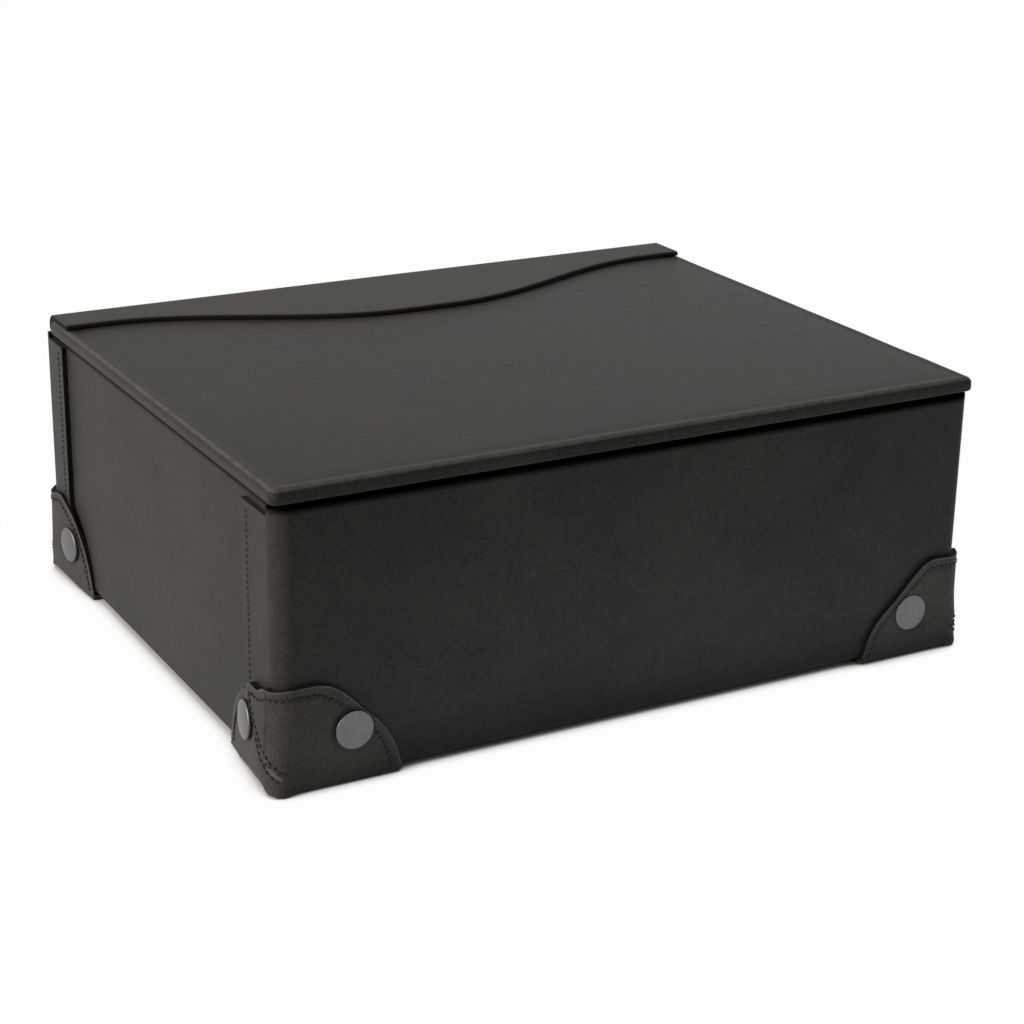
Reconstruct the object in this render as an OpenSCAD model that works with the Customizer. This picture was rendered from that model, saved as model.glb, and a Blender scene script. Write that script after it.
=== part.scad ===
// Leather-covered stationery box with a leather-hinged lid.
// The box stands on z = 0. The front faces -Y and the hinge runs along X at the back rim.

/* [Box] */
// Outside width over the leather that wraps the upright corners
box_w = 332; // [300:1:380]
// Outside depth from the front leather to the back leather
box_d = 274; // [240:1:320]
// Height of the rim above the surface that the box stands on
rim_h = 120.4; // [90:0.2:160]
// Radius of the upright corners on the outside of the leather
corner_r = 8; // [6:0.5:10]
// Radius of the bottom edges on the outside of the leather
foot_r = 3; // [2.6:0.1:4]
// Radius of the front rim where the leather folds over it
rim_r = 2.6; // [2.6:0.1:3.5]

/* [Materials] */
// Thickness of the thick leather on the front, back, hinge and corners
hide_t = 2.4; // [2:0.1:2.5]
// Thickness of the thin leather on the sides and the lid
skin_t = 1.4; // [1.2:0.1:2]
// Thickness of the four wall boards
board_t = 8; // [6:0.5:9]
// Thickness of the base board
base_t = 6; // [4:0.5:8]
// Thickness of the lid board
lid_board_t = 3.5; // [3.5:0.1:5]
// Thickness of the lining inside
lining_t = 1; // [0.6:0.1:1.5]

/* [Leather edges] */
// Reach of the front leather round the corners onto the sides
front_wrap = 33; // [30:0.5:38]
// Reach of the back leather round the corners onto the sides
back_wrap = 35.5; // [30:0.5:38]
// Drop of the front wraps' top edges below the rim
front_drop = 6; // [3:0.5:10]
// Drop of the back wraps' top edges below the rim
back_drop = 3.5; // [3:0.5:10]
// Reach of the leather that is turned in under the base
turn_in = 15; // [10:1:25]
// Gap between the base cover and the side leather's outer face
cover_margin = 1.5; // [1:0.5:3]

/* [Lid and hinge] */
// Overhang of the lid past the wrapped leather at each side
lid_over = 1; // [0.4:0.1:2]
// Running gap between the rim and the lid
lid_gap = 0.2; // [0.2:0.1:0.5]
// Plan radius of the lid's corners
lid_corner_r = 4; // [3:0.5:8]
// Radius of the lid's top edges
lid_top_r = 3; // [2.2:0.1:3.4]
// Radius of the lid's bottom edges
lid_under_r = 2.1; // [2.1:0.1:2.4]
// Width of the leather margin that is turned in under the lid
lid_margin = 18; // [14:1:30]
// Clearance round and below the lid lining
lid_lining_gap = 0.3; // [0.2:0.1:0.5]
// Distance from the back face to the hinge fold
fold_inset = 8.5; // [8:0.1:9]
// Running gap between the hinge fold and the lid's hinge leather
fold_gap = 0.2; // [0.2:0.1:0.4]
// Angle at which the shoulder behind the fold slopes down
shoulder_slope = 18; // [16:1:24]
// Outside radius between the shoulder and the back face
shoulder_r = 7; // [6:0.5:7.5]
// Inset of the flap's ends from the lid's sides
flap_inset = 1.5; // [1:0.5:4]
// Depth of the flap on the lid at its ends
flap_end_d = 25.4; // [20:0.2:35]
// Depth of the flap on the lid at its middle
flap_mid_d = 64.4; // [45:0.2:80]
// Half width of the flap's straight middle stretch
flap_mid_half = 12; // [5:1:30]
// Half width at which the flap's curve has reached its end depth
flap_curve_half = 148; // [120:1:149]

/* [Corner protectors] */
// Height of the wings above the base
wing_h = 45.3; // [44:0.1:50]
// Length of the wings' straight top edge, from the corner
wing_flat = 13.5; // [10:0.5:16]
// Radius of the wings' hump
hump_r = 14; // [10:1:18]
// Slope of the wings' straight stretch
wing_slope = 40; // [36:1:46]
// Radius of the wings' lower stretch
tail_r = 40; // [34:1:42]
// Slope of the wings' edge where it meets the base
tail_slope = 88; // [84:1:89]
// Distance of the nose's centre from the corner, along the seamed face
nose_in = 20.3; // [19:0.1:22]
// Distance from the corner to the middle of the dip between the corner and the nose
dip_in = 10; // [8:0.5:12]
// Half length of that dip
dip_half = 4.5; // [3:0.5:5]
// Height of the nose's centre
nose_z = 35.9; // [34:0.1:37]
// Radius of the nose
nose_r = 5.1; // [4:0.1:6]
// Height at which the seam starts at the corner
seam_z = 8.5; // [7:0.5:11]
// Height of the wing that lies under the seam
under_wing_h = 34.5; // [33:0.5:36]
// Rise of the overlapping leather at the seam
seam_rise = 1.2; // [0.6:0.1:2]
// Distance over which a wing steps down past the wrap below it
step_run = 6; // [4:0.5:8]
// Clearance between a wing and the raw edge that it steps over
step_gap = 0.3; // [0.2:0.1:0.5]

/* [Rivets] */
// Distance of each rivet from the upright corner
rivet_in = 29.6; // [27:0.1:31]
// Height of the rivets
rivet_z = 23.6; // [20:0.1:25]
// Diameter of the rivet caps
cap_d = 16.4; // [12:0.2:17]
// Height of the caps' straight rim
cap_rim_h = 0.9; // [0.6:0.1:1.5]
// Rise of the caps' dome above the rim
cap_dome_h = 1.2; // [0.8:0.1:2]
// Diameter of the rivet shanks
shank_d = 3.4; // [2.6:0.2:4]
// Diameter of the tails inside the boards
tail_d = 9; // [7:0.5:11]
// Thickness of the tails
tail_t = 1; // [0.6:0.1:1.5]
// Radial clearance round the shanks and tails
rivet_gap = 0.1; // [0.1:0.05:0.2]

/* [Hidden] */
$fn = 64;

// Segments in a quarter turn of an edge rounding
edge_steps = 6;
// Segments in the long curves of the outlines
curve_steps = 14;
// Length that reaches past every piece
far = 600;
// Depth by which a cutting block passes the face that it cuts
past = 1;

half_w = box_w / 2;
half_d = box_d / 2;
under_z = hide_t;
board_z = under_z + hide_t;
side_x = half_w - hide_t;
wall_x = side_x - skin_t - board_t;
wall_y = half_d - hide_t - board_t;
corner_y = -half_d + corner_r;
floor_z = board_z + base_t + lining_t;
liner_x = wall_x - lining_t;
liner_y = wall_y - lining_t;
liner_top = rim_h - lid_gap;
fold_y = half_d - fold_inset;

lid_half_w = half_w + lid_over;
lid_z = rim_h + lid_gap;
lid_t = skin_t + lid_board_t + skin_t;
lid_top = lid_z + lid_t;
lid_back = fold_y - fold_gap - hide_t;
flap_back = lid_back + hide_t;

leather = "#35322f";
raw_leather = "#3d3a36";
board = "#8a6f4d";
lining = "#4a4745";
gunmetal = "#6d6b69";

function arc(centre, radius, from, to, steps) =
    [for (i = [0 : steps])
        let (a = from + (to - from) * i / steps)
            centre + radius * [cos(a), sin(a)]];

// A block given by its lowest and highest corners
module block(low, high) {
    translate(low)
        cube(high - low);
}

// Prism of a Y-Z outline, along X over the whole width
module along_x(outline) {
    rotate([90, 0, 90])
        linear_extrude(2 * far, center = true)
            polygon(outline);
}

// Prism of an X-Z outline, along Y over the whole depth
module along_y(outline) {
    rotate([90, 0, 0])
        linear_extrude(2 * far, center = true)
            polygon(outline);
}

// Plan outline with rounded corners
function plan(x0, x1, y0, y1, radius) = concat(
    arc([x0 + radius, y0 + radius], radius, 180, 270, edge_steps),
    arc([x1 - radius, y0 + radius], radius, 270, 360, edge_steps),
    arc([x1 - radius, y1 - radius], radius, 0, 90, edge_steps),
    arc([x0 + radius, y1 - radius], radius, 90, 180, edge_steps));

// Body of the box, drawn in by inset: plan, rounded bottom edges, front rim and back shoulder
function body_side(inset) =
    let (
        edge_r = foot_r - inset,
        z0 = under_z + inset,
        top = rim_h - inset,
        back_r = shoulder_r - inset,
        back_c = [half_d - shoulder_r,
            rim_h - (shoulder_r - sin(shoulder_slope) * (shoulder_r - fold_inset)) / cos(shoulder_slope)],
        slope_y = fold_y - inset * sin(shoulder_slope)
            + inset * (1 - cos(shoulder_slope)) / tan(shoulder_slope)
    )
    concat(
        arc([-half_d + inset + edge_r, z0 + edge_r], edge_r, 180, 270, edge_steps),
        arc([half_d - inset - edge_r, z0 + edge_r], edge_r, 270, 360, edge_steps),
        arc(back_c, back_r, 0, 90 - shoulder_slope, edge_steps),
        [[slope_y, top]],
        arc([-half_d + rim_r, rim_h - rim_r], rim_r - inset, 90, 180, edge_steps));

module body_form(inset) {
    edge_r = foot_r - inset;
    z0 = under_z + inset;
    intersection() {
        linear_extrude(far)
            polygon(plan(-half_w + inset, half_w - inset, -half_d + inset, half_d - inset, corner_r - inset));
        along_y(concat(
            arc([-half_w + inset + edge_r, z0 + edge_r], edge_r, 180, 270, edge_steps),
            arc([half_w - inset - edge_r, z0 + edge_r], edge_r, 270, 360, edge_steps),
            [[half_w, far], [-half_w, far]]));
        along_x(body_side(inset));
    }
}

// Repeats a rivet shape at all eight places. Its axis is Z, with z = 0 on the corner leather's face.
module at_rivets() {
    for (side = [-1, 1]) {
        for (end = [-1, 1]) {
            translate([side * (half_w - rivet_in), end * (half_d + hide_t), rivet_z])
                rotate([-90 * end, 0, 0])
                    children(0);
            translate([side * (half_w + hide_t), end * (half_d - rivet_in), rivet_z])
                rotate([0, 90 * side, 0])
                    children(1);
        }
    }
}

// Depth of the wall under a rivet, from the corner leather's face to the board's inner face
end_wall = hide_t + hide_t + board_t;
side_wall = hide_t + hide_t + skin_t + board_t;

// The bores for the shanks, with a sunk seat for each tail
module rivet_bore(wall) {
    translate([0, 0, -wall - past])
        cylinder(h = wall + 2 * past, d = shank_d + 2 * rivet_gap);
    translate([0, 0, -wall - past])
        cylinder(h = tail_t + past, d = tail_d + 2 * rivet_gap);
}

module rivet_bores() {
    at_rivets() {
        rivet_bore(end_wall);
        rivet_bore(side_wall);
    }
}

// Turns what is drawn for the front round to the back when end = 1
module turned_to(end) {
    rotate([0, 0, end < 0 ? 0 : 180])
        children();
}

// Carcass

module base_board() {
    color(board)
        block([-wall_x, -wall_y, board_z], [wall_x, wall_y, board_z + base_t]);
}

// Board across the front (end = -1) or the back (end = 1)
module end_board(end) {
    color(board)
        difference() {
            body_form(hide_t);
            turned_to(end) {
                block([-far, -wall_y, -far], [far, far, far]);
                block([side_x - skin_t, corner_y, -far], [far, far, far]);
                block([-far, corner_y, -far], [-side_x + skin_t, far, far]);
            }
            rivet_bores();
        }
}

// Board along the left (side = -1) or the right (side = 1)
module side_board(side) {
    color(board)
        difference() {
            translate([side * (wall_x + board_t / 2), 0, 0])
                block([-board_t / 2, -wall_y, board_z], [board_t / 2, wall_y, rim_h - skin_t]);
            rivet_bores();
        }
}

module base_cover() {
    color(raw_leather)
        block([-side_x + cover_margin, -half_d + turn_in, under_z],
            [side_x - cover_margin, half_d - turn_in, board_z]);
}

// Leather

// Thick leather over the front or the back: it folds over the rim, wraps round both upright
// corners onto the sides and is turned in under the base
module end_leather(end, wrap, drop) {
    color(leather)
        difference() {
            body_form(0);
            body_form(hide_t);
            turned_to(end) {
                block([-side_x, -wall_y, board_z], [side_x, far, far]);
                block([-side_x, -half_d + turn_in, -far], [side_x, far, far]);
                block([-far, -half_d + wrap, -far], [far, far, far]);
                block([side_x, corner_y, rim_h - drop], [far, far, far]);
                block([-far, corner_y, rim_h - drop], [-side_x, far, far]);
            }
            rivet_bores();
        }
}

// Thin leather down the side, under the wraps, turned over the rim
module side_leather(side) {
    color(leather)
        difference() {
            mirror([side < 0 ? 1 : 0, 0, 0])
                union() {
                    block([side_x - skin_t, corner_y, board_z], [side_x, -corner_y, rim_h - hide_t]);
                    block([side_x - skin_t, -wall_y, board_z], [side_x, wall_y, rim_h]);
                    block([wall_x, -wall_y, rim_h - skin_t], [side_x, wall_y, rim_h]);
                }
            rivet_bores();
        }
}

// Corner protectors

// Outline of a wing: straight top, convex hump, straight slope and a steeper tail down to the base
function wing_outline() =
    let (
        hump_c = [wing_flat, wing_h - hump_r],
        hump_end = hump_c + hump_r * [sin(wing_slope), cos(wing_slope)],
        tail_drop = tail_r * (cos(wing_slope) - cos(tail_slope)),
        run = (hump_end[1] - tail_drop) / tan(wing_slope),
        tail_c = [hump_end[0] + run, tail_drop] - tail_r * [sin(wing_slope), cos(wing_slope)]
    )
    concat(
        arc(hump_c, hump_r, 90, 90 - wing_slope, edge_steps),
        arc(tail_c, tail_r, 90 - wing_slope, 90 - tail_slope, edge_steps),
        [[wing_len, -past], [-far, -past], [-far, wing_h]]);

// Length of a wing along the base
wing_len = wing_flat + hump_r * sin(wing_slope)
    + (wing_h - hump_r * (1 - cos(wing_slope)) - tail_r * (cos(wing_slope) - cos(tail_slope))) / tan(wing_slope)
    + tail_r * (sin(tail_slope) - sin(wing_slope));

// The part of the leather that comes round the corner and laps over the seamed face: its edge climbs
// from the corner along the seam, rounds the nose, runs back and rises to the height of the wings
function lap_outline() =
    let (
        climb = nose_z - seam_z,
        seam_a = atan2(climb, nose_in) - asin(nose_r / norm([nose_in, climb])),
        low = nose_z + nose_r
    )
    concat(
        [[0, seam_z]],
        arc([nose_in, nose_z], nose_r, seam_a - 90, 90, curve_steps),
        [for (i = [0 : curve_steps])
            let (t = i / curve_steps)
                [dip_in + dip_half - 2 * dip_half * t, low + (wing_h - low) * (1 - cos(180 * t)) / 2]],
        [[-far, wing_h], [-far, seam_z]]);

// Plan outline of the corner leather, grown by t past the box's faces. edge_x and edge_y are the
// distances to a wrap's raw edge that the wing steps down over.
function corner_plan(t, edge_x, edge_y) =
    let (gap = t > 0 ? 2 * step_gap : step_gap)
    concat(
        arc([corner_r, corner_r], corner_r + t, 180, 270, edge_steps),
        [[edge_x + gap, -t], [edge_x + gap + step_run, hide_t - t],
            [far, hide_t - t], [far, far], [hide_t - t, far],
            [hide_t - t, edge_y + gap + step_run], [-t, edge_y + gap]]);

// Profile with a rounded bottom edge, grown by t past the box
function corner_edge(t) = concat(
    arc([foot_r, under_z + foot_r], foot_r + t, 180, 270, edge_steps),
    [[far, under_z - t], [far, far], [-t, far]]);

module corner_form(t, edge_x, edge_y) {
    intersection() {
        linear_extrude(far)
            polygon(corner_plan(t, edge_x, edge_y));
        along_x(corner_edge(t));
        along_y(corner_edge(t));
    }
}

// One protector, with its corner at the origin. The plain wing runs along X and the seamed wing
// along Y.
module corner_protector(edge_x, edge_y) {
    color(leather)
        difference() {
            union() {
                intersection() {
                    corner_form(hide_t, edge_x, edge_y);
                    union() {
                        intersection() {
                            along_y(wing_outline());
                            block([-far, -far, -far], [far, dip_in - dip_half, far]);
                        }
                        intersection() {
                            block([-far, -far, -far], [corner_r, far, far]);
                            union() {
                                intersection() {
                                    along_x(wing_outline());
                                    block([-far, -far, -far], [far, far, under_wing_h]);
                                }
                                along_x(lap_outline());
                            }
                        }
                        linear_extrude(under_z + foot_r)
                            polygon(concat(arc([0, 0], wing_len, 0, 90, curve_steps),
                                [[-far, wing_len], [-far, -far], [wing_len, -far]]));
                    }
                }
                lap();
            }
            corner_form(0, edge_x, edge_y);
            for (turn = [0, 1])
                mirror([turn, -turn, 0])
                    translate([rivet_in, 0, rivet_z])
                        rotate([90, 0, 0])
                            cylinder(h = 4 * hide_t, d = shank_d + 2 * rivet_gap, center = true);
        }
}

// Raised edge of the lap, from nothing at the corner to seam_rise at the seam
module lap() {
    lap_start = dip_in - dip_half;
    reach = nose_in + nose_r;
    intersection() {
        linear_extrude(far)
            polygon([[-hide_t, lap_start], [-hide_t - seam_rise, reach + past], [0, reach + past],
                [0, lap_start]]);
        along_x(lap_outline());
        block([-far, lap_start, -far], [0, far, far]);
    }
}

// Sets a protector at a front (end = -1) or rear (end = 1) corner, left (side = -1) or right
module at_corner(side, end) {
    mirror([side < 0 ? 0 : 1, 0, 0])
        translate([-half_w, end * half_d, 0])
            rotate([0, 0, end < 0 ? 0 : -90])
                children();
}

module front_corner(side) {
    at_corner(side, -1)
        corner_protector(far / 2, front_wrap);
}

module rear_corner(side) {
    at_corner(side, 1)
        corner_protector(back_wrap, far / 2);
}

// Rivets

// Cap with a straight rim and a shallow dome
module rivet_cap() {
    radius = cap_d / 2;
    dome_r = (radius * radius + cap_dome_h * cap_dome_h) / (2 * cap_dome_h);
    dome_a = asin(radius / dome_r);
    rotate_extrude()
        polygon(concat(
            [[0, 0], [radius, 0]],
            arc([0, cap_rim_h + cap_dome_h - dome_r], dome_r, 90 - dome_a, 90, edge_steps)));
}

module rivet_caps() {
    color(gunmetal)
        at_rivets() {
            rivet_cap();
            rivet_cap();
        }
}

module rivet_post(wall) {
    translate([0, 0, -wall])
        cylinder(h = wall, d = shank_d);
    translate([0, 0, -wall])
        cylinder(h = tail_t, d = tail_d);
}

module rivet_posts() {
    color(gunmetal)
        at_rivets() {
            rivet_post(end_wall);
            rivet_post(side_wall);
        }
}

// Linings

module floor_lining() {
    color(lining)
        block([-wall_x, -wall_y, board_z + base_t], [wall_x, wall_y, floor_z]);
}

module end_lining(end) {
    color(lining)
        translate([0, end * (liner_y + lining_t / 2), 0])
            block([-wall_x, -lining_t / 2, floor_z], [wall_x, lining_t / 2, liner_top]);
}

module side_lining(side) {
    color(lining)
        translate([side * (liner_x + lining_t / 2), 0, 0])
            block([-lining_t / 2, -liner_y, floor_z], [lining_t / 2, liner_y, liner_top]);
}

// Lid

// Section of the lid between two faces: small radius below, larger radius above
function lid_section(low, high, inset) = concat(
    arc([low + lid_under_r, lid_z + lid_under_r], lid_under_r - inset, 180, 270, edge_steps),
    arc([high - lid_under_r, lid_z + lid_under_r], lid_under_r - inset, 270, 360, edge_steps),
    arc([high - lid_top_r, lid_top - lid_top_r], lid_top_r - inset, 0, 90, edge_steps),
    arc([low + lid_top_r, lid_top - lid_top_r], lid_top_r - inset, 90, 180, edge_steps));

module lid_form(inset) {
    intersection() {
        linear_extrude(far)
            polygon(plan(-lid_half_w + inset, lid_half_w - inset, -half_d + inset, lid_back - inset,
                lid_corner_r - inset));
        along_y(lid_section(-lid_half_w, lid_half_w, inset));
        along_x(lid_section(-half_d, lid_back, inset));
    }
}

// Opening in the margin under the lid, drawn in by inset
module lid_window(inset, z0, z1) {
    block([-lid_half_w + lid_margin + inset, -half_d + lid_margin + inset, z0],
        [lid_half_w - lid_margin - inset, lid_back - lid_margin - inset, z1]);
}

module lid_board() {
    color(board)
        lid_form(skin_t);
}

module lid_leather() {
    color(leather)
        difference() {
            lid_form(0);
            lid_form(skin_t);
            lid_window(0, lid_z - past, lid_z + 2 * skin_t);
        }
}

module lid_lining() {
    color(lining)
        lid_window(lid_lining_gap, lid_z + lid_lining_gap, lid_z + skin_t);
}

// Depth of the flap at a distance x from the middle: an ogee between two straight stretches
function flap_depth(x) =
    let (t = min(max((abs(x) - flap_mid_half) / (flap_curve_half - flap_mid_half), 0), 1))
        flap_end_d + (flap_mid_d - flap_end_d) * (1 + cos(180 * t)) / 2;

function flap_edge() =
    let (half = lid_half_w - flap_inset, steps = 4 * curve_steps)
        [for (i = [0 : steps])
            let (x = -half + 2 * half * i / steps)
                [x, flap_back - flap_depth(x)]];

// The hinge leather on the lid: flat on top, rounded over the back edge and down to the fold
module hinge_flap() {
    half = lid_half_w - flap_inset;
    bend = [lid_back - lid_top_r, lid_top - lid_top_r];
    front_y = flap_back - flap_mid_d - past;
    color(leather)
        intersection() {
            along_x(concat(
                arc(bend, lid_top_r + hide_t, 0, 90, edge_steps),
                [[front_y, lid_top + hide_t], [front_y, lid_top]],
                arc(bend, lid_top_r, 90, 0, edge_steps),
                [[lid_back, lid_z + fold_gap / 2], [flap_back, lid_z + fold_gap / 2]]));
            linear_extrude(far)
                polygon(concat(flap_edge(), [[half, flap_back + past], [-half, flap_back + past]]));
        }
}

base_board();
end_board(-1);  // front_board
end_board(1);  // back_board
side_board(-1);  // left_board
side_board(1);  // right_board
base_cover();
end_leather(-1, front_wrap, front_drop);  // front_leather
end_leather(1, back_wrap, back_drop);  // back_leather
side_leather(-1);  // left_leather
side_leather(1);  // right_leather
floor_lining();
end_lining(-1);  // front_lining
end_lining(1);  // back_lining
side_lining(-1);  // left_lining
side_lining(1);  // right_lining
front_corner(-1);  // corner_front_left
front_corner(1);  // corner_front_right
rear_corner(-1);  // corner_rear_left
rear_corner(1);  // corner_rear_right
rivet_caps();
rivet_posts();
lid_board();
lid_leather();
lid_lining();
hinge_flap();
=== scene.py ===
"""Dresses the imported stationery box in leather, stitching, felt and metal, and sets its studio."""

import math

import bmesh
import bpy
import numpy as np
from bpy.props import FloatProperty, FloatVectorProperty, IntProperty, PointerProperty
from mathutils import Matrix, Vector, noise


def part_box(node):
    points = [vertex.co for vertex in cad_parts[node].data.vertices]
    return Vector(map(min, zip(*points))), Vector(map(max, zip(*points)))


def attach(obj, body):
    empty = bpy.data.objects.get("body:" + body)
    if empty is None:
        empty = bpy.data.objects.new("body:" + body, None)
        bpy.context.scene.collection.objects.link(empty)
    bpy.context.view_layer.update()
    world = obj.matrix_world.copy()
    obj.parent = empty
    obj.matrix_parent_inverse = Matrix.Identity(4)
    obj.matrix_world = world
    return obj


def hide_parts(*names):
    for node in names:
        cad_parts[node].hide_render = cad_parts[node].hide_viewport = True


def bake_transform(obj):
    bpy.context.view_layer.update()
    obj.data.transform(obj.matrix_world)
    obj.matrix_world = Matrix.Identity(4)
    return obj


bl_info = {
    "name": "Leather Stationery Box",
    "version": (1, 0, 0),
    "blender": (4, 5, 0),
    "location": "3D View > Sidebar > Stationery Box",
    "description": "Makes the leather, stitching, linings and rivets of a stationery box",
    "category": "Add Mesh",
}

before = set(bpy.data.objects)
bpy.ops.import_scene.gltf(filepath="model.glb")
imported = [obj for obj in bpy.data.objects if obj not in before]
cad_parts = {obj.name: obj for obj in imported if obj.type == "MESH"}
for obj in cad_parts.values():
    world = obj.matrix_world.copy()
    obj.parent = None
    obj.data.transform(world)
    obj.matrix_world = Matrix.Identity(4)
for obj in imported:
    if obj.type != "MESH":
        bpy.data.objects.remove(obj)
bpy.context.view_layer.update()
MM = 0.001

# Faces of the box's own solids, in metres
HALF_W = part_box("front_leather")[1].x
HALF_D = -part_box("front_leather")[0].y
RIM_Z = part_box("front_leather")[1].z
WALL_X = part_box("left_leather")[0].x
LID_LOW, LID_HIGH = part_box("lid_leather")
FLAP_LOW, FLAP_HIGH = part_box("hinge_flap")
FRONT_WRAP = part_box("front_leather")[1].y + HALF_D
BACK_WRAP = HALF_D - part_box("back_leather")[0].y
HIDE = -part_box("corner_front_left")[0].y - HALF_D
LID_MID = (LID_LOW.y + LID_HIGH.y) / 2
LID_REACH = (LID_HIGH.y - LID_LOW.y) / 2

# Millimetres of the corner protectors' pattern, measured from the upright corner
CORNER_R = 8.0
WING_H = 45.3
WING_FLAT = 13.5
HUMP_R = 14.0
WING_SLOPE = 40.0
TAIL_R = 40.0
TAIL_SLOPE = 88.0
NOSE = (20.3, 35.9)
NOSE_R = 5.1
SEAM_Z = 8.5
DIP = (10.0, 4.5)
UNDER_WING_H = 34.5
STEP_GAP = 0.6
STEP_RUN = 6.0

HEEL_R = 5.4
STEP_END = 52.0
SLOPE_BEND = 9.0

# The back leather's raw edge on the sides is cut this much nearer the back than the pattern's,
# above the protectors
BACK_TRIM = 0.009
TRIM_LEVELS = (0.026, 0.030, 0.034, 0.038, 0.042)

# Each protector: its node, its side, front or rear, how full its foot is, how its hand-cut wing
# departs from the pattern, as (place along the leather, width, height), and its rivets on the
# plain and the seamed wing, as (distance from the corner, height), all in millimetres
CORNERS = (
    (
        "corner_front_left",
        -1,
        -1,
        1.0,
        ((-3.0, 5.0, -1.3), (27.0, 7.0, 1.9)),
        ((31.0, 23.6), (27.0, 22.7)),
    ),
    (
        "corner_front_right",
        1,
        -1,
        0.5,
        ((0.0, 12.0, -1.2), (38.0, 9.0, -2.4)),
        ((26.8, 21.4), (29.6, 23.6)),
    ),
    (
        "corner_rear_left",
        -1,
        1,
        0.3,
        ((4.0, 14.0, -5.0), (34.0, 9.0, 2.5)),
        ((29.3, 21.0), (29.6, 23.6)),
    ),
    (
        "corner_rear_right",
        1,
        1,
        0.5,
        ((10.0, 9.0, -0.8), (33.0, 8.0, 1.0)),
        ((29.6, 23.6), (29.6, 23.6)),
    ),
)


BOARD_PARTS = ("base", "front", "back", "left", "right", "lid")


# Sizes and colours


def number_of(name, about, default, low, high, **kind):
    """A number that can be set in the panel, between two limits."""
    return FloatProperty(name=name, description=about, default=default, min=low, max=high, **kind)


def count_of(name, about, default, low, high):
    """A whole number that can be set in the panel, between two limits."""
    return IntProperty(name=name, description=about, default=default, min=low, max=high)


def colour_of(name, about, default):
    """A colour that can be set in the panel."""
    return FloatVectorProperty(
        name=name, description=about, default=default, subtype="COLOR", size=3
    )


class BoxLeather(bpy.types.PropertyGroup):
    """The leather's colours and grain."""

    colour: colour_of("Leather colour", "Colour of the dyed grain side", (0.0187, 0.0181, 0.0172))
    bloom: colour_of(
        "Bloom colour",
        "Colour of the paler clouds in the dyed grain side",
        (0.0485, 0.0468, 0.0442),
    )
    edge_colour: colour_of(
        "Raw edge colour", "Colour of the dyed cut edges", (0.0045, 0.0048, 0.005)
    )
    # Pale colour painted on the arrises as their highlight
    arris_highlight_colour: colour_of(
        "Arris colour", "Colour of the rubbed arris beside a cut edge", (0.12, 0.125, 0.13)
    )
    grain: number_of(
        "Grain size", "Size of the grain's cells", 0.0009, 0.0003, 0.004, unit="LENGTH"
    )
    relief: number_of("Grain relief", "Depth of the grain", 0.00006, 0.0, 0.0005, unit="LENGTH")
    roughness: number_of(
        "Roughness", "Roughness of the grain side", 0.5, 0.1, 1.0, subtype="FACTOR"
    )
    gloss: number_of(
        "Gloss", "Strength of the reflection at the surface", 0.04, 0.0, 1.0, subtype="FACTOR"
    )
    edge_round: number_of(
        "Edge rounding",
        "Radius of the cut edges of the thick leather",
        0.0005, 0.0001, 0.001, unit="LENGTH",
    )
    edge_waves: number_of(
        "Edge waves",
        "Height of the slight waves along the lid's edges",
        0.0006, 0.0, 0.001, unit="LENGTH",
    )
    rim_drop: number_of(
        "Rim drop", "How far the rolled rim lies below the lid", 0.0013, 0.0, 0.0013, unit="LENGTH"
    )


class BoxCorners(bpy.types.PropertyGroup):
    """How the corner protectors are formed."""

    detail: count_of(
        "Detail", "How many times the protector's space is halved into mesh cells", 7, 5, 8
    )
    heel: number_of(
        "Heel squareness", "How square the bottom edge is, from 2 for a round one", 3.4, 2.0, 6.0
    )
    corner: number_of(
        "Corner squareness",
        "How square the upright corner is at its foot, from 2 for a round one",
        3.6, 2.0, 6.0,
    )
    bulge: number_of(
        "Bulge",
        "How far the stepped wing stands out at the foot of the corner, in millimetres",
        2.4, 0.0, 4.0,
    )
    seam_depth: number_of(
        "Seam depth", "Depth of the dart seam's groove, in millimetres", 0.8, 0.0, 1.5
    )
    groove: number_of(
        "Stitch groove",
        "Depth to which the stitching draws the leather in, in millimetres",
        0.45, 0.0, 0.6,
    )
    unevenness: number_of(
        "Unevenness", "Height of the hand-formed waves, in millimetres", 0.2, 0.0, 0.5
    )


class BoxStitching(bpy.types.PropertyGroup):
    """The thread and how it is sewn."""

    pitch: number_of(
        "Stitch pitch", "Distance from one stitch to the next", 0.0027, 0.002, 0.008, unit="LENGTH"
    )
    length: number_of(
        "Stitch length",
        "Length of the thread that shows in one stitch",
        0.0023, 0.001, 0.006, unit="LENGTH",
    )
    thickness: number_of(
        "Thread thickness", "Diameter of the thread", 0.0009, 0.0003, 0.0015, unit="LENGTH"
    )
    slant: number_of(
        "Stitch slant",
        "Angle of each stitch to its row",
        math.radians(11), 0.0, math.radians(30), subtype="ANGLE",
    )
    wing_inset: number_of(
        "Wing inset",
        "Distance of the stitches from a protector's edge, in millimetres",
        4.0, 2.5, 4.6,
    )
    seam_inset: number_of(
        "Seam inset", "Distance of the stitches from the dart seam, in millimetres", 2.0, 1.0, 3.5
    )
    wrap_inset: number_of(
        "Wrap inset",
        "Distance of the stitches from a wrap's raw edge",
        0.0053, 0.003, 0.01, unit="LENGTH",
    )
    colour: colour_of("Thread colour", "Colour of the waxed thread", (0.004, 0.004, 0.0045))


class BoxRivets(bpy.types.PropertyGroup):
    """The rivet caps."""

    rim_round: number_of(
        "Rim rounding", "Radius of the cap's rim", 0.0006, 0.0002, 0.0009, unit="LENGTH"
    )
    dish: number_of(
        "Dome rise",
        "Rise of the cap from its rim to its middle",
        0.0006, 0.0, 0.0012, unit="LENGTH",
    )
    segments: count_of("Segments", "Number of faces round a cap", 56, 16, 128)
    colour: colour_of("Metal colour", "Colour of the gunmetal", (0.15, 0.149, 0.147))


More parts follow.
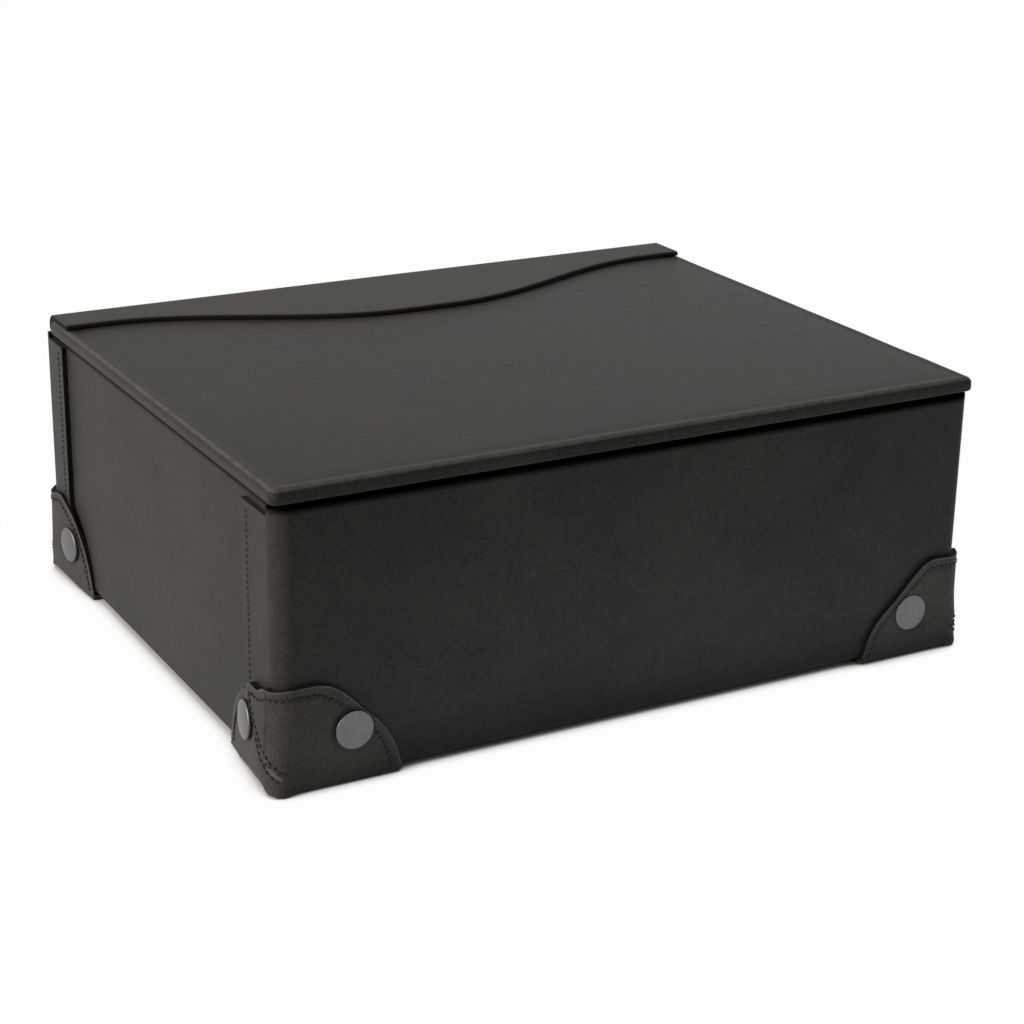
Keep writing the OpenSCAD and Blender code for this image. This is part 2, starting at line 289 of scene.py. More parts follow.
class BoxInside(bpy.types.PropertyGroup):
    """The linings and the boards."""

    colour: colour_of("Lining colour", "Colour of the woven lining", (0.045, 0.042, 0.038))
    thread: number_of(
        "Lining thread",
        "Distance between the lining's threads",
        0.0008, 0.0004, 0.003, unit="LENGTH",
    )
    board: colour_of("Board colour", "Colour of the carcass boards", (0.32, 0.22, 0.13))


class BoxStudio(bpy.types.PropertyGroup):
    """The floor, the lamps and the surroundings."""

    floor_size: number_of("Floor size", "Side of the floor", 9.0, 2.0, 30.0, unit="LENGTH")
    surround: number_of(
        "Surround strength", "Strength of the even light from all round", 0.14, 0.0, 2.0
    )
    key: number_of(
        "Key lamp", "Power of the large soft lamp at the left", 66.0, 0.0, 500.0, unit="POWER"
    )
    fill: number_of("Top lamp", "Power of the lamp above and behind", 8.0, 0.0, 500.0, unit="POWER")
    card: number_of(
        "Bounce card",
        "Power of the white card that lies in front of the box",
        0.2, 0.0, 50.0, unit="POWER",
    )


# Shader building


class Value:
    """A node's output that can be used in Python expressions."""

    def __init__(self, finish, socket):
        self.finish = finish
        self.socket = socket

    def _math(self, operation, first, second):
        return self.finish.node("ShaderNodeMath", {0: first, 1: second}, operation=operation)

    def __add__(self, other):
        return self._math("ADD", self, other)

    def __radd__(self, other):
        return self._math("ADD", other, self)

    def __sub__(self, other):
        return self._math("SUBTRACT", self, other)

    def __rsub__(self, other):
        return self._math("SUBTRACT", other, self)

    def __mul__(self, other):
        return self._math("MULTIPLY", self, other)

    def __rmul__(self, other):
        return self._math("MULTIPLY", other, self)

    def __truediv__(self, other):
        return self._math("DIVIDE", self, other)

    def __pow__(self, other):
        return self._math("POWER", self, other)


class Finish:
    """A material with its node tree and one Principled shader."""

    def __init__(self, name):
        self.material = bpy.data.materials.new(name)
        self.material.use_nodes = True
        self.tree = self.material.node_tree
        self.tree.nodes.clear()

    def node(self, kind, inputs=None, output=0, stops=None, **settings):
        """Adds a node: its settings first, then the values or links of its sockets."""
        made = self.tree.nodes.new(kind)
        for name, setting in settings.items():
            setattr(made, name, setting)
        if stops:
            ramp = made.color_ramp
            while len(ramp.elements) < len(stops):
                ramp.elements.new(0.5)
            for element, (place, colour) in zip(ramp.elements, stops):
                element.position = place
                element.color = (*colour, 1.0)
        for key, value in (inputs or {}).items():
            if isinstance(value, Value):
                self.tree.links.new(value.socket, made.inputs[key])
            else:
                made.inputs[key].default_value = value
        return Value(self, made.outputs[output]) if made.outputs else None

    def position(self):
        return self.node("ShaderNodeTexCoord", output="Object")

    def noise(self, size, detail=2.0, rough=0.5, at=None):
        return self.node(
            "ShaderNodeTexNoise",
            {
                "Vector": at or self.position(),
                "Scale": 1.0 / size,
                "Detail": detail,
                "Roughness": rough,
            },
        )

    def steps(self, value, low, high, to_low=0.0, to_high=1.0):
        """value moved from low..high to to_low..to_high, smoothly and clamped."""
        return self.node(
            "ShaderNodeMapRange",
            {"Value": value, 1: low, 2: high, 3: to_low, 4: to_high},
            interpolation_type="SMOOTHSTEP",
        )

    def mix(self, factor, first, second):
        """A colour between two colours."""
        first, second = (c if isinstance(c, Value) else (*c[:3], 1.0) for c in (first, second))
        return self.node(
            "ShaderNodeMix",
            {0: factor, 6: first, 7: second},
            output=2,
            data_type="RGBA",
        )

    def surface(self, sockets, relief=None, depth=0.0, shade=None):
        """Ends the tree in a Principled shader, with a bump of that depth in metres.

        Where shade is 1 the surface is painted black instead, standing in for shade.
        """
        sockets = dict(sockets)
        if relief is not None:
            sockets["Normal"] = self.node(
                "ShaderNodeBump", {"Strength": 1.0, "Distance": depth, "Height": relief}
            )
        shader = self.node("ShaderNodeBsdfPrincipled", sockets, output="BSDF")
        if shade is not None:
            black = self.node("ShaderNodeBsdfDiffuse", {"Color": (0.0012, 0.0012, 0.0012, 1.0)})
            shader = self.node("ShaderNodeMixShader", {0: shade, 1: shader, 2: black})
        self.node("ShaderNodeOutputMaterial", {"Surface": shader})
        return self.material

    def seen_rays(self):
        """1 for rays from the camera, reflections and glass, else 0."""
        total = self.node("ShaderNodeLightPath", output="Is Camera Ray")
        for kind in ("Is Glossy Ray", "Is Transmission Ray"):
            rays = self.node("ShaderNodeLightPath", output=kind)
            total = self.node("ShaderNodeMath", {0: total, 1: rays}, operation="MAXIMUM")
        return total


def leather_finish(name, tone=1.0, arris=False, rolled=False, polish=0.0, gloss=1.0):
    """Dyed, matte leather: fine grain, soft clouds of bloom, and a pale highlight painted on the
    arris.

    For the walls the leather is painted black towards the rim, as the shade that falls under the
    lid. Polish takes some of the roughness away, and gloss is a share of the leather's own.
    """
    props = bpy.context.scene.box_leather
    made = Finish(name)
    cells = made.node(
        "ShaderNodeTexVoronoi",
        {"Vector": made.position(), "Scale": 1.0 / props.grain},
        feature="F1",
    )
    pores = made.steps(cells, 0.05, 0.75)
    fine = made.noise(0.00035, detail=3.0)
    creases = made.noise(0.006, detail=4.0, rough=0.6)
    clouds = made.noise(0.055, detail=3.0, rough=0.55)
    spots = made.steps(made.noise(0.0013, detail=2.0), 0.3, 0.7)
    bloom = made.steps(clouds * 0.7 + creases * 0.3, 0.34, 0.68)
    dark = [c * tone for c in props.colour]
    pale = [c * tone for c in props.bloom]
    colour = made.mix(bloom * 0.4 + spots * 0.35 + pores * 0.25, dark, pale)
    height = pores * 0.6 + fine * 0.35 + creases * 1.6 + spots * 0.5
    rough = props.roughness - polish + (clouds - 0.5) * 0.12 + (spots - 0.5) * 0.1
    # Painted highlight: a pale line along the arris, broken up by noise
    if arris:
        highlit = made.node("ShaderNodeAttribute", output="Fac", attribute_name="arris")
        wear_and_sheen = highlit * made.steps(made.noise(0.004), 0.3, 0.6, 0.55, 1.0)
        colour = made.mix(wear_and_sheen, colour, props.arris_highlight_colour)
    shade = None
    # Painted shade: black towards the rim, where the lid's shadow falls
    if rolled:
        level = made.node("ShaderNodeSeparateXYZ", {0: made.position()}, output="Z")
        shade = made.steps(level, RIM_Z - 0.0052, RIM_Z - 0.0014)
    return made.surface(
        {"Base Color": colour, "Roughness": rough, "Specular IOR Level": props.gloss * gloss},
        height,
        props.relief,
        shade,
    )


def raw_edge_finish(name):
    """The fibrous cut edge of the thick leather."""
    props = bpy.context.scene.box_leather
    made = Finish(name)
    fibres = made.noise(0.0005, detail=4.0, rough=0.7)
    length = made.noise(0.004, detail=2.0)
    colour = made.mix(
        made.steps(fibres, 0.35, 0.75), props.edge_colour, [c * 2.5 for c in props.edge_colour]
    )
    return made.surface(
        {"Base Color": colour, "Roughness": 0.8 + (length - 0.5) * 0.2, "Specular IOR Level": 0.1},
        fibres + length * 2.0,
        0.0001,
    )


def arris_highlight_finish(name):
    """A pale highlight painted on the arris beside a cut edge, broken up by noise."""
    props = bpy.context.scene.box_leather
    made = Finish(name)
    wear_and_sheen = made.steps(made.noise(0.003, detail=3.0), 0.35, 0.65)
    return made.surface(
        {
            "Base Color": made.mix(wear_and_sheen, props.bloom, props.arris_highlight_colour),
            "Roughness": 0.55 + wear_and_sheen * 0.1,
            "Specular IOR Level": 0.3,
        }
    )


def thread_finish(name):
    """Waxed thread, with the twist of its plies."""
    props = bpy.context.scene.box_stitching
    made = Finish(name)
    plies = made.noise(0.0003, detail=2.0)
    colour = made.mix(made.steps(plies, 0.35, 0.65), props.colour, [c * 2.6 for c in props.colour])
    return made.surface(
        {"Base Color": colour, "Roughness": 0.55 + (plies - 0.5) * 0.2, "Specular IOR Level": 0.35},
        plies,
        0.0001,
    )


def gunmetal_finish(name):
    """Blackened, lightly brushed metal with small handling marks."""
    props = bpy.context.scene.box_rivets
    made = Finish(name)
    marks = made.noise(0.0022, detail=4.0, rough=0.65)
    grain = made.noise(0.0003, detail=2.0)
    colour = made.mix(made.steps(marks, 0.3, 0.7), [c * 0.86 for c in props.colour], props.colour)
    return made.surface(
        {"Base Color": colour, "Metallic": 1.0, "Roughness": 0.34 + marks * 0.12},
        marks * 0.6 + grain * 0.4,
        0.00003,
    )


def weave_finish(name, colour, spacing):
    """Plain-woven cloth, laid out on the piece's own UV map in metres."""
    made = Finish(name)
    parts = made.node("ShaderNodeTexCoord", output="UV")
    threads = made.node(
        "ShaderNodeVectorMath",
        {0: parts, 1: (1.0 / spacing, 1.0 / spacing, 0.0)},
        operation="MULTIPLY",
    )
    across = made.node("ShaderNodeSeparateXYZ", {0: threads}, output="X")
    along = made.node("ShaderNodeSeparateXYZ", {0: threads}, output="Y")
    square = made.node("ShaderNodeTexChecker", {"Vector": threads, "Scale": 1.0}, output=1)

    def ridge(run):
        return made.node(
            "ShaderNodeMath",
            {0: made.node("ShaderNodeMath", {0: run * math.pi}, operation="SINE")},
            operation="ABSOLUTE",
        )

    height = ridge(across) * square + ridge(along) * (1.0 - square)
    slubs = made.noise(0.004, detail=3.0)
    wear_and_sheen = made.noise(0.05, detail=2.0)
    shade = made.steps(height * 0.7 + slubs * 0.3 + wear_and_sheen * 0.2, 0.1, 1.0)
    return made.surface(
        {
            "Base Color": made.mix(shade, [c * 0.45 for c in colour], colour),
            "Roughness": 0.85 + (slubs - 0.5) * 0.1,
            "Specular IOR Level": 0.2,
        },
        height + slubs * 0.4,
        0.0002,
    )


def board_finish(name):
    """Laminated board: long fibres and a faint layer pattern."""
    props = bpy.context.scene.box_inside
    made = Finish(name)
    stretched = made.node(
        "ShaderNodeVectorMath",
        {0: made.position(), 1: (0.12, 0.12, 1.0)},
        operation="MULTIPLY",
    )
    fibres = made.noise(0.0012, detail=4.0, at=stretched)
    layers = made.noise(0.02, detail=2.0, at=stretched)
    shade = made.steps(fibres * 0.6 + layers * 0.4, 0.3, 0.7)
    return made.surface(
        {
            "Base Color": made.mix(shade, [c * 0.7 for c in props.board], props.board),
            "Roughness": 0.75 + (fibres - 0.5) * 0.2,
            "Specular IOR Level": 0.3,
        },
        fibres,
        0.0001,
    )


def finish_of(name, make, *args, **options):
    """The finish of that name, made once."""
    return bpy.data.materials.get(name) or make(name, *args, **options)


def leather():
    return finish_of("matte_leather", leather_finish, gloss=2.0)


# Leather of the walls, painted black at the rim as the shade under the lid
def rolled_leather():
    return finish_of("rolled_leather", leather_finish, rolled=True, gloss=1.5)


def raw_edge():
    return finish_of("raw_leather_edge", raw_edge_finish)


# The finish that paints a pale highlight on the arrises of the cut edges
def arris():
    return finish_of("rubbed_arris", arris_highlight_finish)


# Mesh building


def piece(name, mesh, finishes, body="box", replaces=()):
    """A finished piece that rides on a body and stands for CAD nodes."""
    mesh.name = name
    if not mesh.materials:
        for finish in finishes:
            mesh.materials.append(finish)
    made = bpy.data.objects.new(name, mesh)
    bpy.context.scene.collection.objects.link(made)
    if body:
        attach(made, body)
    if replaces:
        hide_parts(*replaces)
    return made


def mesh_of(points, faces):
    mesh = bpy.data.meshes.new("work")
    mesh.from_pydata([tuple(p) for p in points], [], faces)
    mesh.validate()
    mesh.update()
    return mesh


def merged(*nodes):
    """The solids of some CAD nodes as one clean mesh of flat faces."""
    work = bmesh.new()
    for node in nodes:
        work.from_mesh(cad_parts[node].data)
    bmesh.ops.remove_doubles(work, verts=work.verts, dist=2e-6)
    bmesh.ops.dissolve_limit(
        work, angle_limit=math.radians(0.3), verts=work.verts, edges=work.edges
    )
    mesh = bpy.data.meshes.new("work")
    work.to_mesh(mesh)
    work.free()
    return mesh


def with_modifiers(mesh, *modifiers):
    """The mesh after some modifiers, each a type and its settings."""
    holder = bpy.data.objects.new("work", mesh)
    bpy.context.scene.collection.objects.link(holder)
    for kind, settings in modifiers:
        modifier = holder.modifiers.new(kind, kind)
        for name, setting in settings.items():
            setattr(modifier, name, setting)
    bpy.context.view_layer.update()
    result = bpy.data.meshes.new_from_object(
        holder.evaluated_get(bpy.context.evaluated_depsgraph_get())
    )
    bpy.data.objects.remove(holder)
    return result


def smooth(mesh, angle=40.0):
    """Smooth shading, with edges sharper than the angle kept sharp."""
    mesh.polygons.foreach_set("use_smooth", [True] * len(mesh.polygons))
    mesh.set_sharp_from_angle(angle=math.radians(angle))
    return mesh


def evened(mesh):
    """Smooth shading that keeps the wide faces flat."""
    smooth(mesh, 50.0)
    return with_modifiers(mesh, ("WEIGHTED_NORMAL", {"keep_sharp": True, "weight": 80}))


def outward(mesh):
    """The mesh with all its faces turned outward."""
    work = bmesh.new()
    work.from_mesh(mesh)
    bmesh.ops.recalc_face_normals(work, faces=work.faces)
    work.to_mesh(mesh)
    work.free()
    return mesh


def softened(mesh, radius, angle=35.0):
    """The mesh with its sharp edges rounded."""
    rounded = with_modifiers(
        mesh,
        (
            "BEVEL",
            {
                "width": radius,
                "segments": 2,
                "limit_method": "ANGLE",
                "angle_limit": math.radians(angle),
                "harden_normals": False,
                "use_clamp_overlap": True,
            },
        ),
    )
    return evened(rounded)


def mark_raw(mesh, test):
    """Gives the cut faces that pass the test the second finish, and their arrises the third, which
    paints a pale highlight.
    """
    for face in mesh.polygons:
        square = test(face.center, face.normal)
        if square:
            face.material_index = 1 if square > 0.9 else 2


def lowered(mesh, top, amount, depth):
    """Lowers the top of a mesh by an amount that fades out a depth below it."""
    for vertex in mesh.vertices:
        t = min(max((vertex.co.z - top + depth) / depth, 0.0), 1.0)
        vertex.co.z -= amount * t * t * (3 - 2 * t)
    return mesh


def flat_map(mesh):
    """A UV map in metres, laid on each face from the nearest axis."""
    layer = mesh.uv_layers.new(name="cloth")
    for face in mesh.polygons:
        drop = max(range(3), key=lambda i: abs(face.normal[i]))
        keep = [i for i in range(3) if i != drop]
        for corner in face.loop_indices:
            co = mesh.vertices[mesh.loops[corner].vertex_index].co
            layer.data[corner].uv = (co[keep[0]], co[keep[1]])


def rounded_ring(low, high, radius, inset, z, steps=8, pitch=0.008):
    """Points of a rounded rectangle at height z, drawn in by inset."""
    left = max(radius - inset, 0.0003)
    centres = [
        (low.x + inset + left, low.y + inset + left, 180),
        (high.x - inset - left, low.y + inset + left, 270),
        (high.x - inset - left, high.y - inset - left, 0),
        (low.x + inset + left, high.y - inset - left, 90),
    ]
    lengths = [high.x - low.x, high.y - low.y] * 2
    ring = []
    for k, (px, py, start) in enumerate(centres):
        turned = [math.radians(start + 90 * i / steps) for i in range(steps + 1)]
        ring += [(px + left * math.cos(a), py + left * math.sin(a), z) for a in turned]
        nx, ny, next_start = centres[(k + 1) % 4]
        first = math.radians(next_start)
        ahead = (nx + left * math.cos(first), ny + left * math.sin(first))
        count = round(lengths[k] / pitch)
        for i in range(1, count):
            t = i / count
            x = between(px + left * math.cos(turned[-1]), ahead[0], t)
            ring.append((x, between(py + left * math.sin(turned[-1]), ahead[1], t), z))
    return ring


def between(first, second, t):
    return first + (second - first) * t


def lofted(rings, capped=True):
    """A mesh through closed rings of equal length, from the first to the last."""
    count = len(rings[0])
    points = [p for ring in rings for p in ring]
    faces = []
    for k in range(len(rings) - 1):
        for i in range(count):
            j = (i + 1) % count
            faces.append((k * count + i, k * count + j, (k + 1) * count + j, (k + 1) * count + i))
    if capped:
        faces.append(tuple(reversed(range(count))))
        faces.append(tuple(range((len(rings) - 1) * count, len(rings) * count)))
    return mesh_of(points, faces)


def arc(cx, cz, radius, start, end, steps):
    """Points of an arc, from one angle to another in degrees."""
    return [
        (
            cx + radius * math.cos(math.radians(start + (end - start) * i / steps)),
            cz + radius * math.sin(math.radians(start + (end - start) * i / steps)),
        )
        for i in range(steps + 1)
    ]


# Pattern of the corner protectors, on the leather laid out flat.
# The coordinate u runs along the plain wing, round the upright corner and along the seamed wing.

BEND_R = CORNER_R + 1.2
SEAM_U = CORNER_R - BEND_R * math.pi / 2


def smoothly(value, low, high):
    """0 below low, 1 above high, and a smooth rise between."""
    t = np.clip((value - low) / (high - low), 0, 1)
    return t * t * (3 - 2 * t)


def along_seamed(v):
    """u of a point at a distance v from the corner, along the seamed face."""
    if v >= CORNER_R:
        return SEAM_U - (v - CORNER_R)
    outer = CORNER_R + HIDE / MM
    return SEAM_U + BEND_R * math.asin(min((CORNER_R - v) / outer, 1.0))


def wing_edge(steps=24):
    """Edge of a wing from its straight top to its tail, as (distance from the corner, height)."""
    slope, tail = math.radians(WING_SLOPE), math.radians(TAIL_SLOPE)
    hump_z = WING_H - HUMP_R
    end = (WING_FLAT + HUMP_R * math.sin(slope), hump_z + HUMP_R * math.cos(slope))
    drop = TAIL_R * (math.cos(slope) - math.cos(tail))
    run = (end[1] - drop) / math.tan(slope)
    cx = end[0] + run - TAIL_R * math.sin(slope)
    cz = drop - TAIL_R * math.cos(slope)
    return (
        [(CORNER_R, WING_H)]
        + arc(WING_FLAT, hump_z, HUMP_R, 90, 90 - WING_SLOPE, steps)
        + arc(cx, cz, TAIL_R, 90 - WING_SLOPE, 90 - TAIL_SLOPE, steps)
    )


def seam_line(steps=12):
    """The dart seam from its foot to the nose, as (u, height)."""
    climb = NOSE[1] - SEAM_Z
    rise = math.atan2(climb, NOSE[0]) - math.asin(NOSE_R / math.hypot(NOSE[0], climb))
    start = arc(*NOSE, NOSE_R, math.degrees(rise) - 90, 90, 1)[0]
    return [
        (along_seamed(start[0] * i / steps), SEAM_Z + (start[1] - SEAM_Z) * i / steps)
        for i in range(steps + 1)
    ]


def lap_edge(steps=24):
    """Edge of the lap, up the seam, round the nose and back to the corner, as (u, height)."""
    climb = NOSE[1] - SEAM_Z
    rise = math.atan2(climb, NOSE[0]) - math.asin(NOSE_R / math.hypot(NOSE[0], climb))
    nose = arc(*NOSE, NOSE_R, math.degrees(rise) - 90, 90, steps)
    low = NOSE[1] + NOSE_R
    dip = []
    for i in range(steps + 1):
        t = i / steps
        height = low + (WING_H - low) * (1 - math.cos(math.pi * t)) / 2
        dip.append((DIP[0] + DIP[1] - 2 * DIP[1] * t, height))
    return seam_line() + [(along_seamed(v), z) for v, z in nose[1:] + dip]


def far_wing_edge():
    """Edge of the seamed wing, from its tail to where it goes under the lap."""
    edge = [(along_seamed(v), z) for v, z in reversed(wing_edge())]
    return [point for point in edge if point[1] < UNDER_WING_H + 0.1]


def evenly(points, pitch=0.5):
    """The line with points about pitch apart."""
    p = np.array(points, float)
    run = np.concatenate([[0], np.cumsum(np.linalg.norm(np.diff(p, axis=0), axis=1))])
    keep = np.concatenate([[True], np.diff(run) > 1e-9])
    p, run = p[keep], run[keep]
    at = np.linspace(0, run[-1], max(2, int(run[-1] / pitch) + 1))
    return np.column_stack([np.interp(at, run, p[:, i]) for i in range(p.shape[1])])


def moved_right(p, distance):
    """An evenly spaced line moved to its right-hand side."""
    ahead = np.gradient(p, axis=0)
    ahead /= np.linalg.norm(ahead, axis=1)[:, None] + 1e-12
    side = np.column_stack([ahead[:, 1], -ahead[:, 0]])
    return p + np.reshape(distance, (-1, 1)) * side


def stitch_rows():
    """The rows of stitches on a protector, each as points in (u, height)."""
    props = bpy.context.scene.box_stitching
    inset, seam_inset = props.wing_inset, props.seam_inset
    outline = evenly(lap_edge() + wing_edge())
    run = 0.5 * np.arange(len(outline))
    seam_run = 0.5 * len(evenly(seam_line()))
    distance = seam_inset + (inset - seam_inset) * smoothly(run, seam_run - 5, seam_run + 3)
    main = moved_right(outline, distance)
    beside = moved_right(evenly(seam_line()), -seam_inset * 0.8)
    far = moved_right(evenly(far_wing_edge()), inset)
    tack = np.array([(-4.0, 13.2), (-1.5, 12.6), (0.8, 14.0), (3.3, 13.2), (6.0, 13.0)])
    return (
        main[(main[:, 1] > 4.0) & (main[:, 1] < 45)],
        beside[beside[:, 1] < 20],
        far[(far[:, 1] > 4.0) & (far[:, 1] < 29.5)],
        tack,
    )


def distance_to(points, line):
    """Shortest distance from each 2D point to a line of points."""
    line = np.array(line, float)
    best = np.full(len(points), 1e9)
    for start, end in zip(line[:-1], line[1:]):
        way = end - start
        t = np.clip(((points - start) @ way) / (way @ way + 1e-12), 0, 1)
        best = np.minimum(best, np.linalg.norm(points - start - t[:, None] * way, axis=1))
    return best


def transformed(points, matrix):
    m = np.array(matrix)
    return points @ m[:3, :3].T + m[:3, 3]


def squarer(angle, power):
    """How much further out a squarer curve lies than a circle, at an angle."""
    return (np.abs(np.cos(angle)) ** power + np.abs(np.sin(angle)) ** power) ** (-1 / power)


class Protector:
    """One corner protector: where it stands and how its leather is formed.

    Its own frame is in millimetres, with the plain wing along x, the seamed wing along y and the
    upright corner of the box at the origin.
    """

    def __init__(self, node, side, end, full, warps, rivets):
        self.node, self.side, self.end, self.full, self.warps = node, side, end, full, warps
        self.rivets = [rivets[0], (along_seamed(rivets[1][0]), rivets[1][1])]
        turn = Matrix.Rotation(math.radians(-90), 4, "Z") if end > 0 else Matrix.Identity(4)
        place = Matrix.Translation((-HALF_W / MM, end * HALF_D / MM, 0)) @ turn
        if side > 0:
            place = Matrix.Scale(-1, 4, (1, 0, 0)) @ place
        self.place = Matrix.Scale(MM, 4) @ place
        self.step_at = (FRONT_WRAP if end < 0 else BACK_WRAP) / MM
        edge = np.array(wing_edge())
        self.edge_u, self.edge_z = edge[:, 0], edge[:, 1]

    def flat(self, p):
        """Turn round the corner, distances along both wings, distance out and height."""
        x, y, z = p.T
        bend = (x < CORNER_R) & (y < CORNER_R)
        plain = ~bend & (y < x)
        seamed = ~bend & ~plain
        turn = np.where(bend, np.arctan2(CORNER_R - y, CORNER_R - x), np.pi / 2 * plain)
        out = np.where(plain, -y, -x)
        radial = np.hypot(x - CORNER_R, y - CORNER_R)
        step = math.radians(15)
        facet = np.cos(turn % step - step / 2) / math.cos(step / 2)
        out = np.where(bend, radial * facet - CORNER_R, out)
        return (
            turn,
            np.where(plain, x - CORNER_R, 0.0),
            np.where(seamed, y - CORNER_R, 0.0),
            out,
            z.copy(),
        )

    def laid(self, u, z, out):
        """The same for points given as (u, height) and a distance out."""
        turn = np.clip((u - SEAM_U) / BEND_R, 0, np.pi / 2)
        plain, seamed = np.maximum(u - CORNER_R, 0), np.maximum(SEAM_U - u, 0)
        return turn, plain, seamed, out, z

    def formed(self, turn, plain, seamed, out, z, drawn=0.0):
        """Points of the formed leather, from its flat coordinates."""
        props = bpy.context.scene.box_corners
        stepped = seamed if self.end < 0 else plain
        step = self.step(stepped)
        share = np.clip((out + step) / (HIDE / MM), 0, 1)

        # Bottom edge
        thick = 1 - step / (HIDE / MM)
        inward, down = out + HEEL_R - HIDE / MM, HEEL_R - z
        low = (inward > 0) & (down > 0)
        grow = squarer(np.arctan2(down, inward), 2 + (props.heel - 2) * self.full) - 1
        grow = np.where(low, grow * thick, 0)
        out = out + inward * grow
        z = z - down * grow

        # The stepped wing slopes from a full corner down to its tail
        facing = np.cos(turn) if self.end < 0 else np.sin(turn)
        amount = props.bulge * self.full * (1 - 0.75 * smoothly(z, 8, 40))
        whole = math.hypot(STEP_END - CORNER_R, SLOPE_BEND) - SLOPE_BEND
        fall = np.clip((np.hypot(stepped, SLOPE_BEND) - SLOPE_BEND) / whole, 0, 1)
        slope = (HIDE / MM + amount) * (1 - fall) - 0.94 * fall
        shift = np.where(stepped > 0, slope - (HIDE / MM - step), amount * facing**2)
        other = plain if self.end < 0 else seamed
        shift = np.where(other > 0, 0, shift)
        foot = smoothly(z, 0.0, 1.5)
        out = out + (shift * foot - drawn) * share**1.5

        # Upright corner
        power = 2 + (props.corner - 2) * self.full * (1 - smoothly(z, 4, 26))
        reach = (CORNER_R + out) * squarer(turn, power)

        # Hand-cut outline
        u = np.where(seamed > 0, SEAM_U - seamed, CORNER_R + plain)
        u = np.where((plain == 0) & (seamed == 0), SEAM_U + BEND_R * turn, u)
        edge_z = np.interp(u, self.edge_u, self.edge_z, left=WING_H)
        near = smoothly(z / np.maximum(edge_z, 1), 0.6, 1.0) * smoothly(edge_z, 6, 15)
        for at, width, height in self.warps:
            z = z + near * height * np.exp(-(((u - at) / width) ** 2))

        x = CORNER_R + plain - reach * np.cos(turn)
        y = CORNER_R + seamed - reach * np.sin(turn)
        return np.column_stack([x, y, np.maximum(z, 0)])

    def step(self, distance):
        """How far the stepped wing goes down past the wrap's raw edge."""
        past = (distance + CORNER_R - self.step_at - STEP_GAP) / STEP_RUN
        return HIDE / MM * np.clip(past, 0, 1)

    def lap_rise(self, seamed):
        """Rise of the lap over the seamed wing."""
        start = DIP[0] - DIP[1]
        reach = NOSE[0] + NOSE_R - start
        past = np.where(seamed > 0, seamed + CORNER_R - start, CORNER_R - start)
        return 1.2 * np.clip(past / reach, 0, 1) * (seamed > 0)

    def on_face(self, points, lap):
        """Points in (u, height) on the outer face, and the ways out, in the box's frame."""
        line = np.array(points, float)
        turn, plain, seamed, _, z = self.laid(line[:, 0], line[:, 1], 0)
        stepped = seamed if self.end < 0 else plain
        out = HIDE / MM - self.step(stepped)
        if lap:
            out = out + self.lap_rise(seamed)
        base = self.formed(turn, plain, seamed, out, z)
        above = self.formed(turn, plain, seamed, out, z + 0.2)
        beside = []
        for shift in (-0.2, 0.2):
            turn, plain, seamed, _, z = self.laid(line[:, 0] + shift, line[:, 1], 0)
            beside.append(self.formed(turn, plain, seamed, out, z))
        across = beside[1] - beside[0]
        way = np.cross(across, above - base)
        turn_over = np.array(self.place.to_3x3())
        way = way @ turn_over.T * (-1 if self.side > 0 else 1)
        way /= np.linalg.norm(way, axis=1)[:, None]
        return transformed(base, self.place), way

    def mesh(self):
        """The protector's solid as a fine mesh, formed by hand over the box."""
        props = bpy.context.scene.box_corners
        mesh = with_modifiers(
            merged(self.node),
            (
                "REMESH",
                {"mode": "SHARP", "octree_depth": props.detail, "scale": 0.99, "sharpness": 1.0},
            ),
        )
        co = np.zeros(len(mesh.vertices) * 3, np.float32)
        mesh.vertices.foreach_get("co", co)
        p = transformed(co.reshape(-1, 3).astype(float), self.place.inverted())
        turn, plain, seamed, out, z = self.flat(p)
        u = np.where(seamed > 0, SEAM_U - seamed, CORNER_R + plain)
        u = np.where((plain == 0) & (seamed == 0), SEAM_U + BEND_R * turn, u)
        spot = np.column_stack([u, z])

        drawn = np.zeros(len(p))
        for row in stitch_rows()[:3]:
            drawn += props.groove * np.exp(-((distance_to(spot, row) / 0.8) ** 2))
        seam = distance_to(spot, seam_line())
        drawn += props.seam_depth * np.exp(-((seam / 0.6) ** 2)) * smoothly(z, 7, 14)
        for across, up in self.rivets:
            ring = np.hypot(u - across, z - up)
            drawn += 0.55 * np.exp(-(((ring - 8.5) / 1.1) ** 2))
        seed = Vector((self.side * 7.0, self.end * 5.0, 0.0))
        waves = [noise.noise(Vector(q) / 13.0 + seed) for q in p]
        drawn -= props.unevenness * np.array(waves)
        drawn *= smoothly(z, 2, 5)

        lap = distance_to(spot, lap_edge() + wing_edge())
        edge = np.minimum(lap, distance_to(spot, far_wing_edge()))
        formed = self.formed(turn, plain, seamed, out, z, drawn)
        world = transformed(formed, self.place).astype(np.float32)
        mesh.vertices.foreach_set("co", world.ravel())

        stepped = seamed if self.end < 0 else plain
        top = (out + self.step(stepped)) / (HIDE / MM) > 0.85
        # Painted highlight: a pale line along the arris of the outline's cut edge
        arris = np.exp(-(((edge - 0.1) / 0.4) ** 2)) * top * (z > 3)
        layer = mesh.attributes.new("arris", "FLOAT", "POINT")
        layer.data.foreach_set("value", arris.astype(np.float32))
        self.mark_cut(mesh, p, turn, np.minimum(edge, seam), z)
        smooth(mesh, 42.0)
        return mesh

